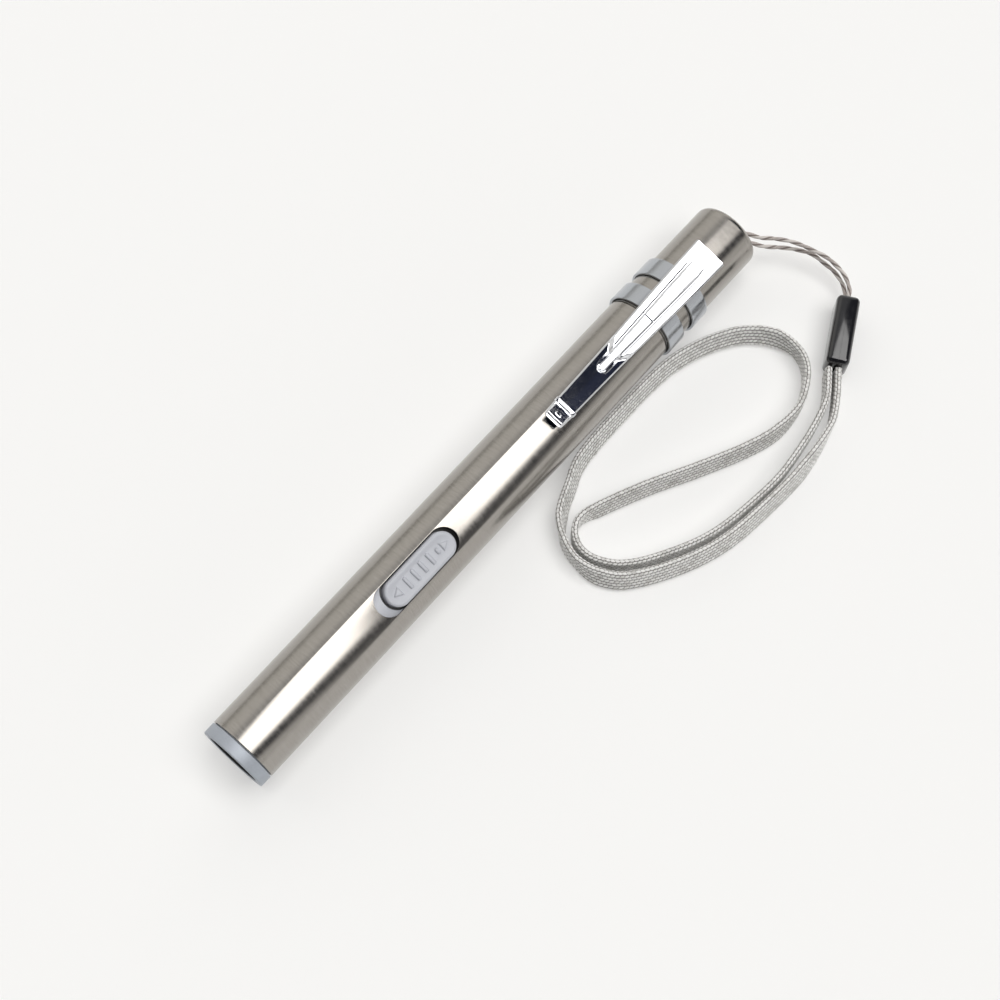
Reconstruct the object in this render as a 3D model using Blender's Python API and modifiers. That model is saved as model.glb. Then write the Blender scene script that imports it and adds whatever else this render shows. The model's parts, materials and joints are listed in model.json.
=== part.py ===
"""Rechargeable stainless-steel penlight with a slide switch, pocket clip and wrist strap.

The pen lies along X with its light at the -X end. Everything in the pen is drawn along
a pen axis that starts at the light end, and the frame empties carry it to its place.
Sizes are in metres.
"""
import math

import bmesh
import bpy
from mathutils import Matrix, Vector
from mathutils.geometry import interpolate_bezier

MM = 0.001

# Overall sizes
PEN_LENGTH = 140.0 * MM
TUBE_DIAMETER = 14.0 * MM
TUBE_WALL = 0.5 * MM
SEAM_GAP = 0.2 * MM
FIT = 0.15 * MM            # radial gap between pieces that seat in each other
GAP = 0.3 * MM             # gap between touching faces
ROUND = 64                 # sides of a large round piece
MIDDLE_ROUND = 48          # sides of a round piece inside it

# Light end
RING_LENGTH = 2.4 * MM
RING_NECK = 3.6 * MM
RING_LIP = 1.5 * MM
LENS_THICKNESS = 1.2 * MM
LENS_RECESS = 0.7 * MM
LENS_RIM = 0.55 * MM
SEAL_WIRE = 0.7 * MM
REFLECTOR_DEPTH = 6.5 * MM
REFLECTOR_WALL = 0.6 * MM
LED_DIAMETER = 3.0 * MM
LED_HEIGHT = 2.2 * MM
BOARD_THICKNESS = 1.0 * MM
HOLDER_LENGTH = 3.0 * MM
HOLDER_WALL = 1.2 * MM

# Slide switch
SLOT_START = 35.8 * MM
SLOT_WIDTH = 6.0 * MM
BUTTON_LENGTH = 17.0 * MM
BUTTON_SIDE_GAP = 0.35 * MM
BUTTON_FRONT_GAP = 2.4 * MM    # open slot in front of the thumb piece, which moves to the light to switch on
BUTTON_PROUD = 0.75 * MM
BUTTON_REAR_GAP = 1.0 * MM
SLIDE_TRAVEL = 2.0 * MM
SKIRT_MARGIN = 0.9 * MM
SKIRT_OVERLAP = 1.2 * MM   # the skirt still runs past the slot by this much at either end of its travel
SKIRT_THICKNESS = 0.8 * MM
RIDGE_PITCH = 2.0 * MM
RIDGE_COUNT = 4
RIDGE_LENGTH = 2.5 * MM
RIDGE_WIDTH = 0.7 * MM
RIDGE_HEIGHT = 0.2 * MM
RIDGE_SHIFT = 0.45 * MM    # the ridges sit this far towards the light
ARROW_RADIUS = 1.1 * MM
ARROW_INSET = 2.4 * MM
KNOB_SIZE = (1.6 * MM, 1.4 * MM)
SWITCH_CASE = (8.6 * MM, 3.7 * MM, 1.6 * MM)
SWITCH_FLOOR = 0.6 * MM
DETENT_SIZE = (3.0 * MM, 2.0 * MM, 0.3 * MM)
DETENT_GAP = 1.5 * MM

# Inside
MAIN_BOARD_WIDTH = 9.6 * MM
MAIN_BOARD_THICKNESS = 1.0 * MM
BOARD_END_ROOM = 3.1 * MM  # room for the wires' ends between the board and the cell
BOARD_LEVEL = 0.6 * MM     # height of the board's underside above the pen axis
CARRIER_WALL = 0.8 * MM
CHIP_SIZE = (3.0 * MM, 3.0 * MM, 0.9 * MM)
CHIP_PLACE = 8.0 * MM      # along the board
CHARGE_LED_SIZE = (1.6 * MM, 0.8 * MM, 0.6 * MM)
CHARGE_LED_PLACE = 13.0 * MM
CELL_DIAMETER = 10.0 * MM
CELL_LENGTH = 44.0 * MM
CELL_PIP = 0.8 * MM
PIP_RADIUS = 1.8 * MM
CELL_EDGE = 0.4 * MM
TAB_THICKNESS = 0.25 * MM
TAB_SIZE = (6.0 * MM, 8.0 * MM)
WIRE_DIAMETER = 0.9 * MM
WIRE_STEP = 5.0 * MM
WIRE_ANGLE = 30.0          # height of the wires beside the cell, in degrees round the pen
WIRE_START_SIDE = 3.0 * MM
WIRE_SPREAD = 3.0 * MM     # length over which they spread out to the tube wall
COLLAR_FLANGE = 2.0 * MM
NECK_LENGTH = 6.0 * MM
USB_WIDTH = 12.0 * MM
USB_THICKNESS = 4.5 * MM
USB_LENGTH = 14.0 * MM
USB_SHEET = 0.35 * MM
TONGUE_THICKNESS = 1.8 * MM
USB_FLOOR = 1.0 * MM       # closed inner end of the plug's shell
TONGUE_INSET = 0.5 * MM
CONTACT_SIZE = (7.0 * MM, 1.0 * MM, 0.2 * MM)
CONTACT_INSET = 1.2 * MM
CONTACT_PITCH = 2.2 * MM

# Tail cap and clip
CAP_END_WALL = 1.2 * MM
CAP_EDGE_RADIUS = 1.2 * MM
CORD_HOLE = 3.2 * MM
PLUG_CLEARANCE = 0.6 * MM  # from the plug's end to the cap's insert
INSERT_LENGTH = 5.5 * MM
BAND_INSETS = (0.3 * MM, 7.3 * MM)   # from the cap's mouth to each band
BAND_WIDTH = 4.2 * MM
BAND_THICKNESS = 0.5 * MM
BAND_WRAP = 162.0          # degrees that each arm reaches from the clip's middle
SPINE_HALF_ANGLE = 22.0
CLIP_LENGTH = 46.8 * MM
CLIP_TAIL_INSET = 9.8 * MM # from the pen's tail to the clip's tail end
CLIP_TIP_WIDTH = 4.4 * MM
CLIP_WAIST_WIDTH = 4.8 * MM
CLIP_TAIL_WIDTH = 7.0 * MM
CLIP_WAIST = 12.0 * MM     # length of the narrow, straight part
CLIP_THICKNESS = 0.7 * MM
CLIP_LIFT = 0.75 * MM      # gap from the bands to the arm
CLIP_RIB_HEIGHT = 0.3 * MM
CLIP_RIB_INSET = 13.9 * MM # from the clip's tip
CLIP_RIB_LENGTH = 29.2 * MM
CLIP_RIB_WIDTH = 2.6 * MM
FOOT_RADIUS = 0.75 * MM
FOOT_LENGTH = 2.8 * MM
CLIP_BLOCK = 2.6 * MM

# How far the pen and the clip are turned round the pen axis, in degrees towards -Y
BUTTON_TURN = 23.0
CLIP_TURN = 15.3

# Lanyard
STRAP_WIDTH = 5.2 * MM
STRAP_THICKNESS = 1.4 * MM
CORD_DIAMETER = 0.9 * MM
FERRULE_LENGTH = 15.0 * MM
FERRULE_THICKNESS = 4.6 * MM
FERRULE_HEIGHT = 6.4 * MM
FERRULE_FOOT = (62.6 * MM, -33.4 * MM)
FERRULE_TURN = 28.3        # degrees from +X towards +Y
KNOT_DIAMETER = 4.4 * MM

UPRIGHT = 0.0
MIDDLE_LEAN = -12.0        # degrees, positive to the right of the way it runs
UPPER_LEAN = 18.0
OUTER_LEAN = -18.0
STRAP_FLOOR_GAP = 0.1 * MM
# Where the strap runs, from the ferrule and back to it: x and y in mm, and its lean
STRAP_ROUTE = [
    (61.5, -32.5, UPRIGHT), (55.0, -36.5, UPRIGHT), (40.0, -39.0, UPRIGHT), (30.0, -38.5, UPRIGHT),
    (19.5, -36.5, UPRIGHT), (10.0, -32.0, UPRIGHT), (4.5, -28.0, UPRIGHT), (2.0, -24.0, UPRIGHT),
    (1.5, -20.5, UPRIGHT), (3.0, -17.5, UPRIGHT), (6.0, -16.0, UPRIGHT), (10.5, -17.5, MIDDLE_LEAN),
    (19.5, -21.5, MIDDLE_LEAN), (29.0, -26.5, MIDDLE_LEAN), (38.5, -31.0, MIDDLE_LEAN), (45.0, -33.0, MIDDLE_LEAN),
    (51.5, -33.0, UPRIGHT), (56.5, -31.0, UPRIGHT), (59.5, -28.5, UPRIGHT), (61.0, -25.0, UPRIGHT),
    (60.5, -20.5, UPPER_LEAN), (58.0, -16.5, UPPER_LEAN), (54.5, -13.5, UPPER_LEAN), (48.5, -10.5, UPPER_LEAN),
    (41.0, -8.5, UPPER_LEAN), (28.0, -8.0, UPPER_LEAN), (15.5, -8.5, UPPER_LEAN), (10.0, -10.5, UPPER_LEAN),
    (4.5, -13.0, UPPER_LEAN), (1.0, -16.5, UPRIGHT), (-0.5, -21.0, UPRIGHT), (0.0, -26.0, OUTER_LEAN),
    (3.0, -30.5, OUTER_LEAN), (11.5, -36.0, OUTER_LEAN), (20.5, -39.5, OUTER_LEAN), (31.0, -41.0, OUTER_LEAN),
    (42.0, -41.5, OUTER_LEAN), (52.5, -40.0, UPRIGHT), (57.5, -37.5, UPRIGHT), (62.5, -34.0, UPRIGHT),
]
# The two thin cords' routes, from the tail hole to the ferrule, x, y, z in mm
CORD_A_ROUTE = [
    (70.3, 0.8, 8.0), (70.8, -0.3, 8.0), (71.5, -1.5, 8.0), (72.5, -3.5, 7.8), (73.5, -5.5, 7.5),
    (74.8, -7.0, 7.3), (76.0, -8.5, 7.0), (77.1, -10.2, 6.8), (78.0, -12.0, 6.5), (79.0, -15.0, 6.0),
    (79.7, -17.0, 5.5), (80.0, -19.0, 5.0), (79.5, -22.5, 4.5), (78.0, -25.0, 4.0), (76.5, -26.0, 4.0),
]
CORD_B_ROUTE = [
    (70.3, -0.8, 7.2), (70.6, -1.9, 7.1), (71.0, -3.0, 7.0), (72.0, -4.8, 6.5), (73.0, -6.5, 6.0),
    (74.2, -7.8, 5.5), (75.5, -9.0, 5.0), (77.5, -11.5, 4.5), (79.0, -14.0, 4.0), (79.4, -15.5, 3.8),
    (79.5, -17.0, 3.5), (79.6, -18.8, 3.2), (79.5, -20.5, 3.0), (78.5, -23.5, 2.5), (76.0, -26.0, 2.5),
]
STRAP_STEP = 4.9 * MM
CORD_STEP = 3.2 * MM

# Worked out from the values above
TUBE_RADIUS = TUBE_DIAMETER / 2
BORE_RADIUS = TUBE_RADIUS - TUBE_WALL
INNER_RADIUS = BORE_RADIUS - FIT
CAP_LENGTH = NECK_LENGTH + USB_LENGTH + PLUG_CLEARANCE + INSERT_LENGTH + GAP + CAP_END_WALL
CAP_START = PEN_LENGTH - CAP_LENGTH
TUBE_END = CAP_START - SEAM_GAP
BAND_STARTS = tuple(CAP_START + inset for inset in BAND_INSETS)
CLIP_END = PEN_LENGTH - CLIP_TAIL_INSET
CLIP_START = CLIP_END - CLIP_LENGTH
CLIP_RIB_START = CLIP_START + CLIP_RIB_INSET
CLIP_RIB_END = CLIP_RIB_START + CLIP_RIB_LENGTH
BAND_INNER = TUBE_RADIUS + FIT
BAND_OUTER = BAND_INNER + BAND_THICKNESS
AXIS_HEIGHT = BAND_OUTER
ARM_UNDERSIDE = BAND_OUTER + CLIP_LIFT
ARM_TOP = ARM_UNDERSIDE + CLIP_THICKNESS
LENS_START = LENS_RECESS
LENS_END = LENS_START + LENS_THICKNESS
OPENING_RADIUS = TUBE_RADIUS - RING_LIP
LENS_RADIUS = OPENING_RADIUS + LENS_RIM
SEAL_START = LENS_END + FIT
REFLECTOR_START = SEAL_START + SEAL_WIRE + FIT
REFLECTOR_END = REFLECTOR_START + REFLECTOR_DEPTH
LED_BOARD_START = REFLECTOR_END + GAP
HOLDER_START = LED_BOARD_START + BOARD_THICKNESS + GAP
CARRIER_START = HOLDER_START + HOLDER_LENGTH + GAP
SLOT_LENGTH = BUTTON_FRONT_GAP + BUTTON_LENGTH + BUTTON_REAR_GAP
SLOT_CENTRE = SLOT_START + SLOT_LENGTH / 2
BUTTON_WIDTH = SLOT_WIDTH - 2 * BUTTON_SIDE_GAP
BUTTON_CENTRE = SLOT_START + SLOT_LENGTH - BUTTON_REAR_GAP - BUTTON_LENGTH / 2
SKIRT_TOP = BORE_RADIUS - FIT
BOARD_TOP = BOARD_LEVEL + MAIN_BOARD_THICKNESS
COLLAR_START = TUBE_END - NECK_LENGTH
NECK_END = CAP_START + NECK_LENGTH
USB_START = NECK_END - COLLAR_FLANGE
USB_END = NECK_END + USB_LENGTH
CELL_END = COLLAR_START - GAP - TAB_THICKNESS - GAP
CELL_START = CELL_END - CELL_LENGTH
BOARD_START = CARRIER_START + GAP
CARRIER_END = CELL_START - CELL_PIP - 2 * GAP - TAB_THICKNESS
BOARD_END = CARRIER_END - BOARD_END_ROOM


def clear_scene():
    for old in list(bpy.data.objects):
        bpy.data.objects.remove(old, do_unlink=True)


def collection(name):
    made = bpy.data.collections.new(name)
    bpy.context.scene.collection.children.link(made)
    return made


clear_scene()
PARTS = collection("penlight")
CUTTERS = collection("cutters")


def material(name, colour, roughness=0.5, metallic=0.0, transmission=0.0):
    made = bpy.data.materials.new(name)
    made.use_nodes = True
    shader = made.node_tree.nodes["Principled BSDF"]
    shader.inputs["Base Color"].default_value = (*colour, 1.0)
    shader.inputs["Roughness"].default_value = roughness
    shader.inputs["Metallic"].default_value = metallic
    shader.inputs["Transmission Weight"].default_value = transmission
    made.diffuse_color = (*colour, 1.0)
    return made


def frame_empty(name, turn=0.0, parent=None, x=0.0, z=0.0):
    """An empty on the pen axis; turn is in degrees towards -Y."""
    made = bpy.data.objects.new(name, None)
    made.parent = parent
    made.location = (x, 0.0, z)
    made.rotation_euler = (math.radians(turn), 0.0, 0.0)
    PARTS.objects.link(made)
    return made


def add_part(name, data, finish=None, parent=None, group=None, smooth=True):
    made = bpy.data.objects.new(name, data)
    made.parent = parent
    (group or PARTS).objects.link(made)
    if finish:
        data.materials.append(finish)
    if smooth and isinstance(data, bpy.types.Mesh):
        data.shade_smooth()
        data.set_sharp_from_angle(angle=math.radians(35))
    return made


def as_cutter(made):
    made.hide_render = True
    made.display_type = "WIRE"
    return made


def boolean(target, tool, operation="DIFFERENCE", solver="EXACT"):
    step = target.modifiers.new(tool.name, "BOOLEAN")
    step.operation = operation
    step.solver = solver
    step.object = tool
    return step


def turned(name, outline, finish=None, parent=None, group=None, sides=ROUND, closed=True, at=(0, 0)):
    """A profile of (x, radius) points turned round a line along X; closed profiles make rings."""
    data = bpy.data.meshes.new(name)
    points = [(x, 0.0, radius) for x, radius in outline]
    edges = [(i, i + 1) for i in range(len(points) - 1)]
    if closed:
        edges.append((len(points) - 1, 0))
    data.from_pydata(points, edges, [])
    made = add_part(name, data, finish, parent, group, smooth=False)
    made.location = (0.0, at[0], at[1])
    screw = made.modifiers.new("turn", "SCREW")
    screw.axis = "X"
    screw.steps = sides
    screw.render_steps = sides
    screw.use_merge_vertices = True
    screw.merge_threshold = 0.000001
    screw.use_normal_flip = runs_backwards(outline)
    screw.use_smooth_shade = True
    return made


def runs_backwards(outline):
    """True where a profile goes round against the way that gives outward faces."""
    following = outline[1:] + outline[:1]
    return sum(x1 * r2 - x2 * r1 for (x1, r1), (x2, r2) in zip(outline, following)) < 0


def ring(name, start, end, inner, outer, finish=None, parent=None, **options):
    outline = [(start, inner), (start, outer), (end, outer), (end, inner)]
    return turned(name, outline, finish, parent, **options)


def disc(name, start, end, radius, finish=None, parent=None, **options):
    outline = [(start, 0.0), (start, radius), (end, radius), (end, 0.0)]
    return turned(name, outline, finish, parent, closed=False, **options)


def block(name, size, centre, finish=None, parent=None, group=None, edge=0.0):
    shape = bmesh.new()
    bmesh.ops.create_cube(shape, size=1.0, matrix=Matrix.LocRotScale(Vector(centre), None, Vector(size)))
    data = bpy.data.meshes.new(name)
    shape.to_mesh(data)
    shape.free()
    made = add_part(name, data, finish, parent, group, smooth=False)
    if edge:
        rounding = made.modifiers.new("edges", "BEVEL")
        rounding.width = edge
        rounding.segments = 2
    return made


def plate(name, outline, bottom, top, finish=None, parent=None, group=None):
    """A flat outline of (x, y) points with its thickness from bottom to top."""
    curve = bpy.data.curves.new(name + "_outline", "CURVE")
    curve.dimensions = "2D"
    curve.fill_mode = "BOTH"
    curve.extrude = (top - bottom) / 2
    curve.render_resolution_u = 0
    path = curve.splines.new("POLY")
    path.points.add(len(outline) - 1)
    for point, (x, y) in zip(path.points, outline):
        point.co = (x, y, 0.0, 1.0)
    path.use_cyclic_u = True
    holder = bpy.data.objects.new(name + "_outline", curve)
    CUTTERS.objects.link(holder)
    return solid_from_curve(holder, name, finish, parent, group, lift=(top + bottom) / 2)


def solid_from_curve(holder, name, finish=None, parent=None, group=None, lift=0.0):
    """The curve object as a closed mesh, moved up by lift; the curve is removed."""
    bpy.context.view_layer.update()
    ready = holder.evaluated_get(bpy.context.evaluated_depsgraph_get())
    data = bpy.data.meshes.new_from_object(ready)
    data.name = name
    bpy.data.objects.remove(holder)
    shape = bmesh.new()
    shape.from_mesh(data)
    bmesh.ops.remove_doubles(shape, verts=shape.verts, dist=0.000001)
    bmesh.ops.translate(shape, verts=shape.verts, vec=(0.0, 0.0, lift))
    bmesh.ops.recalc_face_normals(shape, faces=shape.faces)
    shape.to_mesh(data)
    shape.free()
    data.materials.clear()
    return add_part(name, data, finish, parent, group)


def arc(centre, radius, start, end, steps):
    """Points of an arc, angles in degrees."""
    turns = [math.radians(start + (end - start) * i / steps) for i in range(steps + 1)]
    return [(centre[0] + radius * math.cos(a), centre[1] + radius * math.sin(a)) for a in turns]


def stadium(centre_x, length, width, steps=12):
    reach = (length - width) / 2
    tail = arc((centre_x + reach, 0.0), width / 2, -90, 90, steps)
    front = arc((centre_x - reach, 0.0), width / 2, 90, 270, steps)
    return tail + front


def smooth_route(points, step):
    """Evenly spaced points on a smooth curve through the given ones; further values follow along."""
    knots = [Vector(p[:3]) * MM for p in points]
    extra = [p[3] if len(p) > 3 else 0.0 for p in points]
    fine = []
    for i in range(len(knots) - 1):
        before = knots[i - 1] if i else 2 * knots[0] - knots[1]
        after = knots[i + 2] if i + 2 < len(knots) else 2 * knots[-1] - knots[-2]
        span = (knots[i + 1] - knots[i]).length
        leave = (knots[i + 1] - before).normalized() * span / 3
        arrive = (after - knots[i]).normalized() * span / 3
        run = interpolate_bezier(knots[i], knots[i] + leave, knots[i + 1] - arrive, knots[i + 1], 13)
        for j, place in enumerate(run[:-1]):
            fine.append((place, extra[i] + (extra[i + 1] - extra[i]) * j / 12))
    fine.append((knots[-1], extra[-1]))
    lengths = [0.0]
    for (a, _), (b, _) in zip(fine, fine[1:]):
        lengths.append(lengths[-1] + (b - a).length)
    count = max(2, round(lengths[-1] / step))
    even, k = [], 0
    for i in range(count + 1):
        goal = lengths[-1] * i / count
        while k < len(fine) - 2 and lengths[k + 1] < goal:
            k += 1
        share = (goal - lengths[k]) / (lengths[k + 1] - lengths[k])
        place = fine[k][0].lerp(fine[k + 1][0], share)
        even.append((place, fine[k][1] + (fine[k + 1][1] - fine[k][1]) * share))
    return even


def cord(name, route, step, thickness, finish, width=0.0, parent=None):
    """A round cord, or with a width a flat strap that stands upright and leans as its route says."""
    curve = bpy.data.curves.new(name, "CURVE")
    curve.dimensions = "3D"
    curve.twist_mode = "Z_UP" if width else "MINIMUM"
    curve.bevel_depth = thickness / 2
    curve.bevel_resolution = 2
    curve.extrude = (width - thickness) / 2 if width else 0.0
    curve.use_fill_caps = True
    curve.render_resolution_u = 0
    path = curve.splines.new("POLY")
    places = smooth_route(route, step)
    path.points.add(len(places) - 1)
    for point, (place, lean) in zip(path.points, places):
        point.co = (*place, 1.0)
        point.tilt = math.radians(lean)
    return add_part(name, curve, finish, parent)


STEEL = material("brushed_steel", (0.52, 0.50, 0.47), 0.32, 1.0)
SATIN = material("satin_steel", (0.62, 0.64, 0.67), 0.28, 1.0)
CHROME = material("bright_chrome", (0.86, 0.87, 0.90), 0.05, 1.0)
RING_GREY = material("ring_grey", (0.42, 0.46, 0.52), 0.35, 0.6)
BUTTON_GREY = material("button_grey", (0.58, 0.60, 0.65), 0.45)
BLACK = material("black_plastic", (0.02, 0.02, 0.022), 0.4)
GLOSS_BLACK = material("gloss_black", (0.012, 0.012, 0.014), 0.12)
WHITE_PLASTIC = material("white_plastic", (0.8, 0.8, 0.78), 0.5)
GLASS = material("clear_lens", (0.92, 0.95, 0.97), 0.05, 0.0, 1.0)
MIRROR = material("reflector_mirror", (0.9, 0.9, 0.9), 0.1, 1.0)
RUBBER = material("seal_rubber", (0.03, 0.03, 0.03), 0.8)
BOARD_GREEN = material("board_green", (0.02, 0.18, 0.07), 0.45)
LED_YELLOW = material("led_yellow", (0.85, 0.78, 0.25), 0.3)
CELL_WRAP = material("cell_wrap", (0.06, 0.16, 0.42), 0.35)
NICKEL = material("nickel", (0.7, 0.68, 0.62), 0.3, 1.0)
GOLD = material("contact_gold", (0.83, 0.62, 0.24), 0.25, 1.0)
RED_WIRE = material("red_wire", (0.55, 0.03, 0.02), 0.5)
BLACK_WIRE = material("black_wire", (0.02, 0.02, 0.02), 0.5)
CORD_GREY = material("cord_grey", (0.50, 0.46, 0.42), 0.8)
STRAP_GREY = material("strap_grey", (0.66, 0.65, 0.63), 0.85)


def build_light_end(body):
    neck_end = RING_LENGTH + RING_NECK
    turned("front_bezel", [
        (0.0, OPENING_RADIUS), (0.0, TUBE_RADIUS - 0.2 * MM), (0.2 * MM, TUBE_RADIUS),
        (RING_LENGTH, TUBE_RADIUS), (RING_LENGTH, INNER_RADIUS), (neck_end, INNER_RADIUS),
        (neck_end, LENS_RADIUS + FIT), (LENS_START - FIT, LENS_RADIUS + FIT), (LENS_START - FIT, OPENING_RADIUS),
    ], RING_GREY, body)
    disc("lens", LENS_START, LENS_END, LENS_RADIUS, GLASS, body, sides=MIDDLE_ROUND)
    seal_middle = SEAL_START + SEAL_WIRE / 2
    seal_radius = LENS_RADIUS - SEAL_WIRE / 2
    seal = arc((seal_middle, seal_radius), SEAL_WIRE / 2, 0, 330, 11)
    turned("bezel_seal", seal, RUBBER, body, sides=MIDDLE_ROUND)
    cup_mouth = LENS_RADIUS - REFLECTOR_WALL
    cup_foot = LED_DIAMETER / 2 + GAP
    inside = [(REFLECTOR_START + REFLECTOR_DEPTH * t * t, cup_mouth + (cup_foot - cup_mouth) * t)
              for t in (0.0, 0.2, 0.4, 0.6, 0.8, 1.0)]
    outside = [(REFLECTOR_END, cup_foot + 2 * REFLECTOR_WALL), (neck_end - GAP, LENS_RADIUS),
               (REFLECTOR_START, LENS_RADIUS)]
    turned("reflector", inside + outside, MIRROR, body, sides=MIDDLE_ROUND)
    dome = [(LED_BOARD_START - FIT - LED_HEIGHT * math.sin(a), LED_DIAMETER / 2 * math.cos(a))
            for a in [math.pi / 2 * i / 6 for i in range(7)]]
    dome[-1] = (dome[-1][0], 0.0)
    turned("led", [(LED_BOARD_START - FIT, 0.0)] + dome, LED_YELLOW, body, sides=24, closed=False)
    disc("led_board", LED_BOARD_START, LED_BOARD_START + BOARD_THICKNESS, INNER_RADIUS - FIT,
         BOARD_GREEN, body, sides=MIDDLE_ROUND)
    ring("led_holder", HOLDER_START, HOLDER_START + HOLDER_LENGTH, INNER_RADIUS - HOLDER_WALL, INNER_RADIUS,
         BLACK, body, sides=MIDDLE_ROUND)


def build_body_tube(body):
    tube = ring("body_tube", RING_LENGTH + SEAM_GAP, TUBE_END, BORE_RADIUS, TUBE_RADIUS, STEEL, body)
    slot = plate("slot_cutter", stadium(SLOT_CENTRE, SLOT_LENGTH, SLOT_WIDTH),
                 TUBE_RADIUS / 2, TUBE_RADIUS * 2, parent=body, group=CUTTERS)
    boolean(tube, as_cutter(slot))


def build_carrier_and_board(body):
    """A half shell under the board, with closed ends, that fills the front of the tube."""
    level = BOARD_LEVEL - GAP
    drop = math.degrees(math.asin(level / INNER_RADIUS))
    inner = INNER_RADIUS - CARRIER_WALL
    inner_drop = math.degrees(math.asin(level / inner))
    section = arc((0.0, 0.0), INNER_RADIUS, 180 - drop, 360 + drop, 28)
    section += arc((0.0, 0.0), inner, 360 + inner_drop, 180 - inner_drop, 28)
    carrier = plate("inner_carrier", section, CARRIER_START, CARRIER_END, BLACK, body)
    carrier.data.transform(Matrix(((0, 0, 1, 0), (1, 0, 0, 0), (0, 1, 0, 0), (0, 0, 0, 1))))
    block("main_board", (BOARD_END - BOARD_START, MAIN_BOARD_WIDTH, MAIN_BOARD_THICKNESS),
          ((BOARD_START + BOARD_END) / 2, 0.0, BOARD_LEVEL + MAIN_BOARD_THICKNESS / 2), BOARD_GREEN, body)
    for name, size, place, finish in (("charge_chip", CHIP_SIZE, CHIP_PLACE, BLACK),
                                      ("charge_led", CHARGE_LED_SIZE, CHARGE_LED_PLACE, WHITE_PLASTIC)):
        block(name, size, (BOARD_START + place, 0.0, BOARD_TOP + GAP + size[2] / 2), finish, body)


def build_switch(body, slider):
    """The slide switch on the board; its knob is caught by the button and moves with it."""
    length, width, height = SWITCH_CASE
    knob_length, knob_width = KNOB_SIZE
    bottom = BOARD_TOP + GAP
    switch = block("slide_switch", SWITCH_CASE, (BUTTON_CENTRE, 0.0, bottom + height / 2), NICKEL, body)
    window = block("switch_window", (knob_length + SLIDE_TRAVEL + 4 * GAP, knob_width + 2 * GAP, 2 * height),
                   (BUTTON_CENTRE - SLIDE_TRAVEL / 2, 0.0, bottom + SWITCH_FLOOR + height),
                   parent=body, group=CUTTERS)
    boolean(switch, as_cutter(window))
    knob_bottom = bottom + SWITCH_FLOOR + GAP
    knob_top = SKIRT_TOP - SKIRT_THICKNESS - GAP
    block("switch_knob", (knob_length, knob_width, knob_top - knob_bottom),
          (BUTTON_CENTRE, 0.0, (knob_top + knob_bottom) / 2), BLACK, slider)
    spring_x = BUTTON_CENTRE + (length + DETENT_SIZE[0]) / 2 + DETENT_GAP
    block("detent_spring", DETENT_SIZE, (spring_x, 0.0, bottom + DETENT_SIZE[2] / 2), NICKEL, body)


def build_slide_button(slider):
    """A thumb piece standing in the tube's slot, on a curved skirt that runs under the tube wall."""
    reach = BUTTON_LENGTH + 2 * (SLIDE_TRAVEL + SKIRT_MARGIN + SKIRT_OVERLAP)
    half_angle = math.degrees(math.asin((SLOT_WIDTH / 2 + SKIRT_MARGIN) / SKIRT_TOP))
    section = arc((0.0, 0.0), SKIRT_TOP, 90 + half_angle, 90 - half_angle, 12)
    section += arc((0.0, 0.0), SKIRT_TOP - SKIRT_THICKNESS, 90 - half_angle, 90 + half_angle, 12)
    middle = BUTTON_CENTRE
    button = plate("slide_button", section, middle - reach / 2, middle + reach / 2, BUTTON_GREY, slider)
    button.data.transform(Matrix(((0, 0, 1, 0), (1, 0, 0, 0), (0, 1, 0, 0), (0, 0, 0, 1))))
    boss_top = TUBE_RADIUS + BUTTON_PROUD
    boss = plate("button_boss", stadium(BUTTON_CENTRE, BUTTON_LENGTH, BUTTON_WIDTH),
                 SKIRT_TOP - SKIRT_THICKNESS * 0.9, boss_top, parent=slider, group=CUTTERS)
    boolean(boss, as_cutter(thumb_marks(boss_top, slider)), "UNION", "MANIFOLD")
    boolean(button, as_cutter(boss), "UNION", "MANIFOLD")


def thumb_marks(level, slider):
    """Cross ridges and an arrow at each end, standing on the thumb piece."""
    shape = bmesh.new()
    first = BUTTON_CENTRE - RIDGE_SHIFT - (RIDGE_COUNT - 1) * RIDGE_PITCH / 2
    for i in range(RIDGE_COUNT + 1):
        length = RIDGE_LENGTH if i < RIDGE_COUNT else RIDGE_LENGTH * 0.6
        place = Vector((first + i * RIDGE_PITCH, 0.0, level))
        size = Vector((RIDGE_WIDTH, length, 2 * RIDGE_HEIGHT))
        bmesh.ops.create_cube(shape, size=1.0, matrix=Matrix.LocRotScale(place, None, size))
    for end in (-1, 1):
        place = Matrix.Translation((BUTTON_CENTRE + end * (BUTTON_LENGTH / 2 - ARROW_INSET), 0.0, level))
        facing = Matrix.Rotation(math.radians(-90.0 * end), 4, "Z")
        bmesh.ops.create_cone(shape, cap_ends=True, segments=3, radius1=ARROW_RADIUS, radius2=ARROW_RADIUS,
                              depth=2 * RIDGE_HEIGHT, matrix=place @ facing)
    data = bpy.data.meshes.new("thumb_marks")
    shape.to_mesh(data)
    shape.free()
    return add_part("thumb_marks", data, parent=slider, group=CUTTERS, smooth=False)


def build_cell(body):
    radius = CELL_DIAMETER / 2
    turned("battery_cell", [
        (CELL_START - CELL_PIP, 0.0), (CELL_START - CELL_PIP, PIP_RADIUS), (CELL_START, PIP_RADIUS),
        (CELL_START, radius - CELL_EDGE), (CELL_START + CELL_EDGE, radius), (CELL_END, radius), (CELL_END, 0.0),
    ], CELL_WRAP, body, sides=MIDDLE_ROUND, closed=False)
    front_tab = CELL_START - CELL_PIP - GAP - TAB_THICKNESS / 2
    rear_tab = CELL_END + GAP + TAB_THICKNESS / 2
    for name, x in (("battery_tab_positive", front_tab), ("battery_tab_negative", rear_tab)):
        block(name, (TAB_THICKNESS, *TAB_SIZE), (x, 0.0, 0.0), NICKEL, body)


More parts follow.
